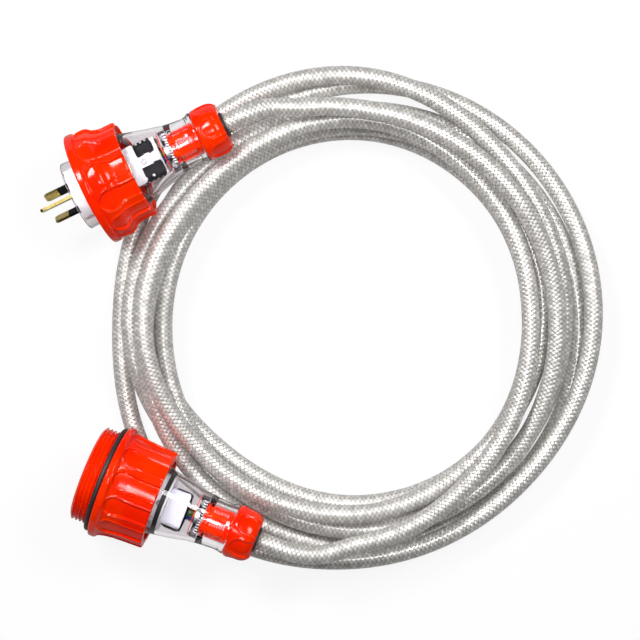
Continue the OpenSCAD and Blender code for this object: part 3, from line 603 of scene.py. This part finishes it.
def fine(points, step):
    """The same line with no stretch longer than step."""
    out = [points[0]]
    for a, b in zip(points[:-1], points[1:]):
        a, b = np.array(a), np.array(b)
        count = max(1, math.ceil(math.dist(a, b) / step))
        out += [tuple(a + (b - a) * k / count) for k in range(1, count + 1)]
    return out


print("a square with soft corners has", len(soft_corners([(0, 0), (1, 0), (1, 1), (0, 1)], 0.2)), "points")

# %% [markdown]
# ## Turned shapes
# A section is turned into a mesh, as on a lathe. Where the surface also changes round the axis, such
# as in the finger panels, a function of radius, z and angle moves the radius of the outer skin. The
# mesh is then laid down with its connector, so that the piece itself stays at the origin.


# %% Helpers for turned shapes
def finish_mesh(mesh, place, sharp=40):
    """Lays a mesh down, turns its faces outwards and keeps only real edges sharp."""
    mesh.transform(Matrix.Scale(MM, 4) @ place)
    work = bmesh.new()
    work.from_mesh(mesh)
    bmesh.ops.recalc_face_normals(work, faces=work.faces)
    work.to_mesh(mesh)
    work.free()
    mesh.shade_smooth()
    mesh.set_sharp_from_angle(angle=math.radians(sharp))


def turned(name, section, place, material, columns, skin=None, shape=None):
    """A closed section turned round the axis; shape(r, z, angle) moves its first skin points."""
    section = np.array(section, float)
    angle = np.arange(columns) * 2 * math.pi / columns
    r = np.repeat(section[:, :1], columns, axis=1)
    z = np.repeat(section[:, 1:], columns, axis=1)
    if shape is not None:
        r[:skin] = shape(r[:skin], z[:skin], angle[None, :])
    points = np.stack([r * np.cos(angle), r * np.sin(angle), z], axis=-1).reshape(-1, 3)
    index = np.arange(len(points)).reshape(len(section), columns)
    down, side = np.roll(index, -1, axis=0), np.roll(index, -1, axis=1)
    quads = np.stack([index, side, np.roll(down, -1, axis=1), down], axis=-1).reshape(-1, 4)
    mesh = bpy.data.meshes.new(name)
    mesh.from_pydata(points.tolist(), [], quads.tolist())
    finish_mesh(mesh, place)
    mesh.materials.append(material)
    print(name, len(mesh.polygons), "faces")
    return show(name, mesh)


def stands_for(piece, body, *names):
    """Makes a piece move with a body and stand for CAD nodes, which it hides."""
    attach(piece, body)
    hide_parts(*names)


# %% [markdown]
# ## Finger panels
# Both grips and both gland nuts have the same kind of panel, a shallow field with a round front, a
# waist and a raised edge. A point's distance from the panel's outline, `inside`, says how deep the
# floor lies there, and the raised edge follows just outside the outline.


# %% Helper for finger panels
def smooth(x):
    """An easy step from 0 to 1."""
    x = np.clip(x, 0, 1)
    return x * x * (3 - 2 * x)


def finger_panels(count, middle, front, wide, narrow, z_from, z_to, depth, lip, edge):
    """Panels round a skin, one of them at the angle middle, that narrow from z_from to z_to."""

    def shape(r, z, angle):
        pitch = 2 * math.pi / count
        turn = (angle - math.radians(middle)) / pitch
        away = np.abs(turn - np.round(turn)) * pitch * r
        half = wide + (narrow - wide) * smooth((z - z_from) / (z_to - z_from))
        centre = front + wide
        inside = np.where(z < centre, wide - np.hypot(away, centre - z), half - away)
        floor = smooth(inside / edge + 0.5)
        ridge = np.exp(-(((inside + 0.75 * edge) / (0.5 * edge)) ** 2))
        return r - depth * floor + lip * ridge

    return shape


# %% [markdown]
# ## The locking ring
# The orange ring pulls the plug tight into its socket. It has a wide flange, a barrel for the hand
# with twelve panels, and a coarse thread inside. Its skin is one fine net, so that the panels' raised
# edges catch the light as thin curved lines.

# %% Locking ring
RING_Z, RING_END = 9.0, 37.9
RING_ROOT_R, RING_RIDGE_R = 28.2, 26.8
RING_PITCH = 2.64
skin = [
    (RING_RIM_R - 0.5, RING_Z + 0.05), (RING_RIM_R, RING_Z + 0.7), (RING_RIM_R, RING_Z + 3.7),
    (32.9, RING_Z + 4.5), (31.7, RING_Z + 4.7), (31.7, RING_Z + 5.3), (32.2, RING_Z + 5.8),
    (32.25, RING_Z + 9.0), (32.2, RING_Z + 11.2), (31.6, RING_Z + 13.2), (29.8, RING_Z + 15.3),
    (28.9, RING_Z + 17.4), (28.4, RING_Z + 20), (28.36, RING_END - 1.2), (27.67, RING_END),
]
skin = fine(soft_corners(skin, 1.2, closed=False), 0.33)
bore = [
    (26.4, RING_END), (26.4, 34.3), (24.4, 34.3), (24.4, 24.9), (27.4, 24.9), (27.4, 23.2),
    (RING_ROOT_R, 22.0),
]
for i in range(3, -1, -1):
    start = RING_Z + 1.4 + i * RING_PITCH
    bore += [
        (RING_ROOT_R, start + 2.1), (RING_RIDGE_R, start + 1.3),
        (RING_RIDGE_R, start + 0.8), (RING_ROOT_R, start),
    ]
bore += [(RING_ROOT_R, RING_Z + 0.4), (28.6, RING_Z + 0.05)]
panels = finger_panels(
    count=12, middle=174.8, front=14.6, wide=6.2, narrow=4.4, z_from=20, z_to=30,
    depth=0.9, lip=0.45, edge=0.85,
)
locking_ring = turned(
    "locking_ring", skin + bore, plug_place, orange, columns=480, skin=len(skin), shape=panels,
)
stands_for(locking_ring, "ring", "plug_locking_ring")

# %% [markdown]
# ## The socket's shell
# The shell of the socket repeats the ring's grip behind a thread of four crests and a groove for the
# round seal. The real thread is a helix. Rings of the same pitch look much the same and turn cleanly
# with the rest of the section, so rings are drawn.

# %% Socket shell
THREAD_ROOT_R, THREAD_CREST_R = 26.4, 27.8
THREAD_PITCH = 2.3
skin = [
    (31.6, 12.85), (32.9, 13.5), (32.9, 16.4), (32.3, 17.2), (30.8, 18.2), (30.1, 21.3), (29.3, 26.8),
    (28.95, 32.8), (SHELL_REAR_R, SHELL_LEN - 0.5), (SHELL_REAR_R - 0.5, SHELL_LEN),
]
skin = fine(soft_corners(skin, 1.0, closed=False), 0.36)
bore = [
    (24.0, SHELL_LEN), (24.0, 26.0), (21.5, 26.0), (21.5, 21.6), (20.7, 21.6), (20.7, 0.6), (21.2, 0.0),
    (25.8, 0.0), (THREAD_ROOT_R, 0.4),
]
for i in range(4):
    start = 0.35 + i * THREAD_PITCH
    bore += [
        (THREAD_ROOT_R, start), (THREAD_CREST_R - 0.25, start + 0.75), (THREAD_CREST_R, start + 1.0),
        (THREAD_CREST_R - 0.25, start + 1.25), (THREAD_ROOT_R, start + 1.95),
    ]
bore += [(THREAD_ROOT_R, 9.5), (27.6, 9.7), (28.0, 9.8), (28.0, 12.8)]
panels = finger_panels(
    count=12, middle=170.3, front=17.9, wide=5.5, narrow=4.45, z_from=21, z_to=33,
    depth=0.8, lip=0.4, edge=0.85,
)
socket_shell = turned(
    "socket_shell", skin + bore, socket_place, orange, columns=432, skin=len(skin), shape=panels,
)
stands_for(socket_shell, "lead", "socket_front_shell")

# %% [markdown]
# ## Gland nuts
# A gland nut squeezes a rubber bush round the cable. Six deep scallops give the fingers a hold. They
# could be cut out with booleans, but moving the points of a fine net keeps their edges soft, and one
# function makes both nuts.

# %% Gland nuts
PLUG_NUT_Z, SOCKET_NUT_Z = 79.2, 88.3
NUT_LEN, NUT_R = 15.0, 15.3


def gland_nut(name, place, z, body, node, middle):
    """A nut that starts at z, with a scallop at the angle middle."""
    skin = [
        (NUT_R - 0.7, z), (NUT_R, z + 0.7), (NUT_R + 0.05, z + 5), (NUT_R, z + 9.3),
        (NUT_R - 0.5, z + 11.7), (NUT_R - 1.5, z + 13.6), (NUT_R - 3, z + NUT_LEN),
    ]
    skin = fine(soft_corners(skin, 0.8, closed=False), 0.25)
    inner = [(7.9, z + NUT_LEN), (7.9, z + 13.4), (12.8, z + 13.4), (12.8, z + 0.3), (13.1, z)]
    scallops = finger_panels(
        count=6, middle=middle, front=z + 2.6, wide=5.4, narrow=5.2, z_from=z + 8, z_to=z + 13,
        depth=0.85, lip=0.22, edge=1.1,
    )
    nut = turned(name, skin + inner, place, orange, columns=288, skin=len(skin), shape=scallops)
    stands_for(nut, body, node)


gland_nut("plug_nut", plug_place, PLUG_NUT_Z, "plug_nut", "plug_gland_nut", middle=180)
gland_nut("socket_nut", socket_place, SOCKET_NUT_Z, "socket_nut", "socket_gland_nut", middle=150)

# %% [markdown]
# ## Clear housings
# Two turned walls of clear plastic, each ending in the sleeve that its gland nut turns on. A solid
# block of glass would look like a lens. A wall of real thickness has two skins that bend the light
# only at the rims, as in the real mouldings, and the parts inside can be read.


# %% Clear housings
def sleeve(z):
    """The sleeve under a gland nut that starts at z, from its shoulder to its inner end."""
    return [(12.4, z - 0.3), (12.4, z + 11.5), (10.2, z + 11.5), (10.2, z - 13.5)]


z = PLUG_NUT_Z
plug_section = [
    (20.2, 0), (20.2, 20.2), (19.8, 20.2), (19.8, 21.8), (27, 21.8), (27, 24.8), (24, 24.8), (24, 34.6),
    (22.4, 34.6), (22.4, 36.1), (21.5, 37.6), (19.3, 45), (17.4, 51.9), (16.2, 57), (14.9, z - 17.2),
    (14.1, z - 11), (13.6, z - 6), (13.9, z - 3.6), (14.8, z - 2), (15, z - 1.4), (15, z - 0.3),
    *sleeve(z),
    (12.9, z - 16.6), (14.2, 57), (15.4, 51.9), (17.3, 45), (18.7, 38.9), (18.7, 0),
]
plug_housing = turned("plug_housing", soft_corners(plug_section, 0.5), plug_place, clear, columns=144)
stands_for(plug_housing, "lead", "plug_body")
z, s = SOCKET_NUT_Z, SHELL_LEN
socket_section = [
    (23.9, 39), (23.9, s - 1.6), (20.6, s - 1.6), (19.4, s + 1.5), (18.7, s + 6), (17.5, s + 13),
    (16.4, s + 18), (15.4, z - 22), (14.6, z - 15), (14, z - 6.3), (14.2, z - 3.6), (14.7, z - 2),
    (14.8, z - 1.4), (14.8, z - 0.3),
    *sleeve(z),
    (13, z - 17), (13.4, z - 22), (14.4, s + 18), (15.5, s + 13), (16.7, s + 6), (17.4, s + 1.5),
    (17.5, s - 1.6), (17.5, 39),
]
socket_outline = soft_corners(socket_section, 0.5)
socket_housing = turned("socket_housing", socket_outline, socket_place, clear, columns=144)
stands_for(socket_housing, "lead", "socket_rear_body")

# %% [markdown]
# ## Bars in rows
# Teeth, ribs and screw threads are one small bar, many times over. This geometry group sets a bar on
# every point of a row, and the row any number of times round the axis. The bar is a cube whose
# creased subdivision gives it soft edges.

# %% Geometry group: rows of bars
ROWS = {
    "Count": ("Int", 1), "Pitch": ("Float", 1.0), "Around": ("Int", 1), "Step": ("Float", 0.0),
    "Radius": ("Float", 0.0), "Turn": ("Float", 0.0), "Shift": ("Vector", (0, 0, 0)),
    "Bar": ("Vector", (1, 1, 1)), "Finish": ("Material", None),
}
rows = bpy.data.node_groups.new("rows_of_bars", "GeometryNodeTree")
for key, (kind, value) in ROWS.items():
    entry = rows.interface.new_socket(key, in_out="INPUT", socket_type="NodeSocket" + kind)
    if value is not None:
        entry.default_value = value
rows.interface.new_socket("Geometry", in_out="OUTPUT", socket_type="NodeSocketGeometry")
given, made = rows.nodes.new("NodeGroupInput").outputs, rows.nodes.new("NodeGroupOutput").inputs
index = add(rows, "GeometryNodeInputIndex").outputs[0]
place_in_row = calc(rows, "FLOOR", calc(rows, "DIVIDE", index, given["Around"]))
place_around = calc(rows, "FLOORED_MODULO", index, given["Around"])
angle = calc(rows, "MULTIPLY_ADD", place_around, given["Step"], given["Turn"])
spot = add(rows, "ShaderNodeCombineXYZ", {
    0: calc(rows, "MULTIPLY", calc(rows, "COSINE", angle), given["Radius"]),
    1: calc(rows, "MULTIPLY", calc(rows, "SINE", angle), given["Radius"]),
    2: calc(rows, "MULTIPLY", place_in_row, given["Pitch"]),
})
spot = add(rows, "ShaderNodeVectorMath", {0: spot.outputs[0], 1: given["Shift"]}, operation="ADD")
total = calc(rows, "MULTIPLY", given["Count"], given["Around"])
points = add(rows, "GeometryNodeMeshLine", {"Count": total, "Offset": (0, 0, 0)})
points = add(rows, "GeometryNodeSetPosition", {"Geometry": points.outputs[0], "Position": spot.outputs[0]})
bar = add(rows, "GeometryNodeMeshCube", {"Size": given["Bar"]})
bar = add(rows, "GeometryNodeSubdivisionSurface", {"Mesh": bar.outputs[0], "Level": 2, "Edge Crease": 0.7})
facing = add(rows, "ShaderNodeCombineXYZ", {2: angle})
facing = add(rows, "FunctionNodeEulerToRotation", {0: facing.outputs[0]})
bars = add(rows, "GeometryNodeInstanceOnPoints", {
    "Points": points.outputs[0], "Instance": bar.outputs[0], "Rotation": facing.outputs[0],
})
bars = add(rows, "GeometryNodeRealizeInstances", {"Geometry": bars.outputs[0]})
bars = add(rows, "GeometryNodeSetMaterial", {"Geometry": bars.outputs[0], "Material": given["Finish"]})
rows.links.new(bars.outputs[0], made[0])
print(rows.name, "has", len(rows.nodes), "nodes")

# %% [markdown]
# ## Pieces made of bars
# Each run of the group is described by its inputs. The group runs on an empty host object, its result
# is made a plain mesh, and the host is removed. A piece joins several runs. Most of them find their
# place from the box of the CAD node they stand for.


# %% Helpers for pieces of bars
def bars_mesh(**values):
    """The mesh of one run of the group."""
    host = show("host", bpy.data.meshes.new("host"))
    modifier = host.modifiers.new("rows", "NODES")
    modifier.node_group = rows
    for entry in rows.interface.items_tree:
        if entry.in_out == "INPUT" and entry.name.lower() in values:
            modifier[entry.identifier] = values[entry.name.lower()]
    bpy.context.view_layer.update()
    mesh = bpy.data.meshes.new_from_object(host.evaluated_get(bpy.context.evaluated_depsgraph_get()))
    bpy.data.objects.remove(host)
    return mesh


def bar_piece(name, place, runs):
    """One piece out of several runs of the group."""
    work = bmesh.new()
    finishes = []
    for run in runs:
        first = len(work.faces)
        work.from_mesh(bars_mesh(**run))
        if run["finish"] not in finishes:
            finishes.append(run["finish"])
        work.faces.ensure_lookup_table()
        for face in work.faces[first:]:
            face.material_index = finishes.index(run["finish"])
    mesh = bpy.data.meshes.new(name)
    work.to_mesh(mesh)
    work.free()
    finish_mesh(mesh, place, sharp=60)
    for finish in finishes:
        mesh.materials.append(finish)
    print(name, len(mesh.polygons), "faces")
    return show(name, mesh)


def local_box(name, place):
    """A CAD node's corners in its connector's own frame, in millimetres."""
    mesh = nodes[name].data
    spots = np.empty(len(mesh.vertices) * 3)
    mesh.vertices.foreach_get("co", spots)
    back = np.array(place.inverted())
    local = spots.reshape(-1, 3) / MM @ back[:3, :3].T + back[:3, 3]
    return local.min(axis=0), local.max(axis=0)


# %% [markdown]
# ## Collets
# The collet has seven fingers that close on the cable. Between them, short teeth cross a window, and
# white bars behind the windows show through as painted glints, which read as rows of small light
# dashes. To cut each window with a boolean would be slow and ragged, so fingers, teeth, glint bars
# and crown are rows of bars.

# %% Collets
FINGERS = 7
TEETH = 9
TEETH_PITCH = 1.4
CROWN_LEN = 3.4


def collet(name, place, node):
    """Fingers, teeth, white bars of painted glints and a crown of pads that fill a CAD node's box."""
    low, high = local_box(node, place)
    front, rear, outer = low[2], high[2], high[1]
    step = 2 * math.pi / FINGERS
    length = rear - front - CROWN_LEN
    fingers = {
        "around": FINGERS, "step": step, "radius": outer - 1.0, "turn": math.pi + step / 2,
        "shift": (0, 0, front + 0.3 + length / 2), "bar": (1.9, 3.3, length + 1.2), "finish": orange,
    }
    teeth = {
        "count": TEETH, "pitch": TEETH_PITCH, "around": FINGERS, "step": step, "radius": outer - 1.1,
        "turn": math.pi, "shift": (0, 0, front + 1.2), "bar": (1.6, 4.4, 0.8), "finish": orange,
    }
    # White bars just under the fingers show through the windows as painted glints.
    painted_glint_bars = {
        "around": FINGERS, "step": step, "radius": outer - 2.0, "turn": math.pi,
        "shift": (0, 0, front + 0.5 + length / 2), "bar": (0.6, 3.4, length), "finish": white,
    }
    crown = {
        "around": 2 * FINGERS, "step": step / 2, "radius": outer - 1.0, "turn": math.pi,
        "shift": (0, 0, rear - CROWN_LEN / 2), "bar": (2.0, 4.2, CROWN_LEN - 0.2), "finish": orange,
    }
    stands_for(bar_piece(name, place, [fingers, teeth, painted_glint_bars, crown]), "lead", node)


collet("plug_ribbed_collet", plug_place, "plug_collet")
collet("socket_ribbed_collet", socket_place, "socket_collet")

# %% [markdown]
# ## Terminal covers
# Two black covers hold the terminal screws of the plug. Their outer edges have teeth, which keep bare
# wires apart. Single bars make the covers, and short rows of bars make the teeth and the screws.

# %% Terminal covers
TOOTH, TOOTH_PITCH = 1.5, 2.8
NARROW_Y, NARROW_WIDTH = 6.6, 6.9
BROAD_Y, BROAD_WIDTH = -6.7, 9.0
low, high = local_box("plug_terminal_shrouds", plug_place)
deep, long = high[0] - low[0], high[2] - low[2]
mid_x, mid_z = (low[0] + high[0]) / 2, (low[2] + high[2]) / 2
teeth = {"pitch": TOOTH_PITCH, "bar": (deep, TOOTH, TOOTH), "finish": black}
covers = [
    {"shift": (mid_x, NARROW_Y, mid_z), "bar": (deep, NARROW_WIDTH, long), "finish": black},
    {"shift": (mid_x, BROAD_Y, mid_z - 1.6), "bar": (deep, BROAD_WIDTH, long + 6), "finish": black},
    {**teeth, "count": 4, "shift": (mid_x, 10.2, low[2] + 1.2)},
    {**teeth, "count": 5, "shift": (mid_x, -11.0, low[2] - 0.9)},
    {"shift": (mid_x - 0.2, 3.0, mid_z), "bar": (deep * 0.8, 1.6, 5.5), "finish": steel},
    {
        "count": 2, "pitch": 5.0, "shift": (mid_x - 0.8, -9.2, low[2] - 0.2),
        "bar": (2.4, 1.7, 1.7), "finish": steel,
    },
]
stands_for(bar_piece("toothed_covers", plug_place, covers), "lead", "plug_terminal_shrouds")

# %% [markdown]
# ## Details under the clear walls
# An orange gasket line shows where each housing closes, and a threaded rod crosses it beside the
# clamp. At the socket's terminals, a thin black band is painted shade along a dark seam, and a black
# slab behind the cover is a painted shadow that shows as a dark outline round it. These small pieces
# stand for no CAD node, so each only rides with the lead.

# %% Details
ROD_PITCH = 1.5
ROD_HEIGHT = 6.2
ROD_INSET = 1.2
SEAM_DEPTH, SEAM_WIDTH = 0.3, 0.4
SEAM_AHEAD = 0.9


def rod(name, place, z, reach):
    """A threaded rod across the housing, above its axis, that reaches to both sides."""
    across = place @ Matrix.Translation((-ROD_HEIGHT, 0, z)) @ Matrix.Rotation(math.radians(90), 4, "X")
    thread = {
        "count": round(2 * reach / ROD_PITCH), "pitch": ROD_PITCH, "shift": (0, 0, -reach),
        "bar": (2.6, 2.6, 1.1), "finish": steel,
    }
    core = {"shift": (0, 0, -0.5), "bar": (1.8, 1.8, 2 * reach), "finish": black}
    return bar_piece(name, across, [thread, core])


def seam(name, place, z, radius):
    """A thin line round the housing."""
    inner = radius - SEAM_DEPTH
    ring = [(inner, z), (radius, z), (radius, z + SEAM_WIDTH), (inner, z + SEAM_WIDTH)]
    return turned(name, ring, place, orange, columns=96)


plug_clamp = local_box("plug_cord_clamp", plug_place)
socket_clamp = local_box("socket_cord_clamp", socket_place)
# A black band a twentieth of a millimetre thick, just inside the socket's clear wall, is painted shade
# along a dark seam.
band = [(17.42, SHELL_LEN + 1.3), (17.47, SHELL_LEN + 1.3), (17.47, SHELL_LEN + 4), (17.42, SHELL_LEN + 4)]
low, high = local_box("socket_terminal_cover", socket_place)
# A black slab behind the socket's terminal cover, a little larger and set off to one side, is a painted
# shadow: its edges show as a dark outline round the cover.
painted_shadow_slab = {
    "shift": (low[0] + 2.0, -0.3, (low[2] + high[2]) / 2 + 0.7),
    "bar": (1.4, high[1] - low[1] + 1.5, high[2] - low[2] + 1.2), "finish": black,
}
small_pieces = [
    rod("plug_threaded_rod", plug_place, plug_clamp[1][2] - ROD_INSET, reach=9.0),
    rod("socket_threaded_rod", socket_place, socket_clamp[1][2] - ROD_INSET, reach=9.5),
    turned("painted_shade_band", band, socket_place, rubber, columns=96),
    seam("plug_seam", plug_place, plug_clamp[0][2] - SEAM_AHEAD, radius=12.5),
    seam("socket_seam", socket_place, socket_clamp[0][2] - SEAM_AHEAD, radius=12.4),
    bar_piece("cover_painted_shadow", socket_place, [painted_shadow_slab]),
]
for piece in small_pieces:
    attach(piece, "lead")

# %% [markdown]
# ## The plug's white insert
# The insert is a copy of the CAD mesh with its round front plate cut to two flats, so that the clear
# nose shows at both sides. A CAD mesh is loose triangles, so its points are merged first.

# %% White insert
FLAT_Y = 14.2
MERGE = 0.02
mesh = nodes["plug_insert"].data.copy()
work = bmesh.new()
work.from_mesh(mesh)
bmesh.ops.remove_doubles(work, verts=work.verts, dist=MERGE * MM)
back = plug_place.inverted() @ Matrix.Scale(1 / MM, 4)
for vert in work.verts:
    spot = back @ vert.co
    spot.y = min(max(spot.y, -FLAT_Y), FLAT_Y)
    vert.co = MM * (plug_place @ spot)
bmesh.ops.dissolve_degenerate(work, dist=0.001 * MM, edges=work.edges)
work.to_mesh(mesh)
work.free()
mesh.materials.clear()
mesh.materials.append(white)
mesh.shade_smooth()
mesh.set_sharp_from_angle(angle=math.radians(35))
stands_for(show("white_insert", mesh), "lead", "plug_insert")
print("white_insert", len(mesh.polygons), "faces")

# %% [markdown]
# ## Finishes for the pieces that stay as they are
# The remaining pieces already have their true shape, so they are kept, and each takes the finish of
# its material.

# %% Finishes
FINISHES = [
    (brass, ["plug_earth_pin", "plug_line_pins", "plug_terminals", "socket_contacts", "socket_terminals"]),
    (steel, [
        "plug_terminal_screws", "plug_slip_washer", "plug_ring_retainer", "socket_terminal_screws",
        "socket_assembly_screws", "socket_slip_washer",
    ]),
    (zinc, ["plug_clamp_screws", "socket_clamp_screws"]),
    (braid_tail, ["plug_sheath_tail", "socket_sheath_tail"]),
    (rubber, ["plug_grommet", "plug_face_gasket", "socket_o_ring", "socket_body_seal", "socket_grommet"]),
    (black, ["plug_pin_sleeves", "plug_cord_clamp", "socket_cord_clamp"]),
    (white, ["socket_insert"]),
    (lavender, ["socket_terminal_cover"]),
    (brown, ["plug_active_core", "socket_active_core"]),
    (blue, ["plug_neutral_core", "socket_neutral_core"]),
    (green, ["plug_earth_core", "socket_earth_core"]),
]
for finish, names in FINISHES:
    for name in names:
        nodes[name].data.materials.clear()
        nodes[name].data.materials.append(finish)
print(sum(len(names) for finish, names in FINISHES), "CAD nodes finished")

# %% [markdown]
# ## Table
# The table is white. The camera sees most of it by its own glow, so that it reads as white and still
# keeps a soft shadow, and so does glass. Reflections see the glow dimmed to a pale grey, which keeps
# the orange deep where its skin turns away.

# %% Table
TABLE_HALF = 3
TABLE_DROP = 0.0002
GLOW_SHARE = 0.88
GLOW_DIMMED_BY = 0.65
table_mesh = bpy.data.meshes.new("table_top")
corners = [(x * TABLE_HALF, y * TABLE_HALF, 0) for x, y in ((-1, -1), (1, -1), (1, 1), (-1, 1))]
table_mesh.from_pydata(corners, [], [(0, 1, 2, 3)])
table_top = show("table_top", table_mesh)
table_top.location.z = -TABLE_DROP
table_finish, tree, bsdf = new_finish("white_table", roughness=0.9)
bsdf.inputs["Base Color"].default_value = (0.9, 0.9, 0.9, 1)
path = add(tree, "ShaderNodeLightPath").outputs
seen = calc(tree, "MAXIMUM", path["Is Camera Ray"], path["Is Glossy Ray"])
seen = calc(tree, "MAXIMUM", seen, path["Is Transmission Ray"])
mirrored = calc(tree, "GREATER_THAN", path["Is Glossy Ray"], path["Is Transmission Ray"])
strength = calc(tree, "MULTIPLY_ADD", mirrored, -GLOW_DIMMED_BY, 1.0)
glow = add(tree, "ShaderNodeEmission", {"Color": (1, 1, 1, 1), "Strength": strength})
shaders = {0: calc(tree, "MULTIPLY", seen, GLOW_SHARE), 1: bsdf.outputs[0], 2: glow.outputs[0]}
mixed = add(tree, "ShaderNodeMixShader", shaders)
tree.links.new(mixed.outputs[0], tree.nodes["Material Output"].inputs["Surface"])
table_mesh.materials.append(table_finish)
print("table", 2 * TABLE_HALF, "m wide")

# %% [markdown]
# ## Sky and lamps
# The camera sees a white sky. The object mirrors one that is pale overhead and darker at the horizon,
# as in a studio. A softbox from the north-west gives the clear highlights on the grips, one from the
# north-east opens the shadows, and one straight overhead puts the bright line on top of every strand.

# %% Sky and lamps
world = bpy.data.worlds.new("pale_studio")
bpy.context.scene.world = world
world.use_nodes = True
tree = world.node_tree
path = add(tree, "ShaderNodeLightPath").outputs
upward = add(tree, "ShaderNodeTexCoord").outputs["Generated"]
upward = add(tree, "ShaderNodeSeparateXYZ", {0: upward}).outputs[2]
fade = fit(tree, upward, 0.0, 0.8, 0.15, 0.7)
strength = add(tree, "ShaderNodeMix", {"Factor": path["Is Camera Ray"], "A": fade, "B": 1.0})
tree.links.new(strength.outputs[0], tree.nodes["Background"].inputs["Strength"])


def softbox(name, place, target, width, depth, power):
    """A rectangular lamp at a place, facing a target; sizes in metres, power in watts."""
    lamp = bpy.data.lights.new(name, "AREA")
    lamp.shape = "RECTANGLE"
    lamp.size = width
    lamp.size_y = depth
    lamp.energy = power
    box = show(name, lamp)
    box.location = place
    box.rotation_euler = (Vector(place) - Vector(target)).to_track_quat("Z", "Y").to_euler()
    print(name, power, "W")


softbox("north_west_softbox", (-0.41, 0.45, 0.95), (0, 0, 0), width=0.34, depth=0.24, power=8.0)
softbox("north_east_softbox", (0.55, 0.35, 0.95), (0.1, 0, 0), width=0.45, depth=0.30, power=6.0)
softbox("overhead_softbox", (0.06, 0.02, 1.35), (0.06, 0.02, 0), width=0.26, depth=0.26, power=5.0)
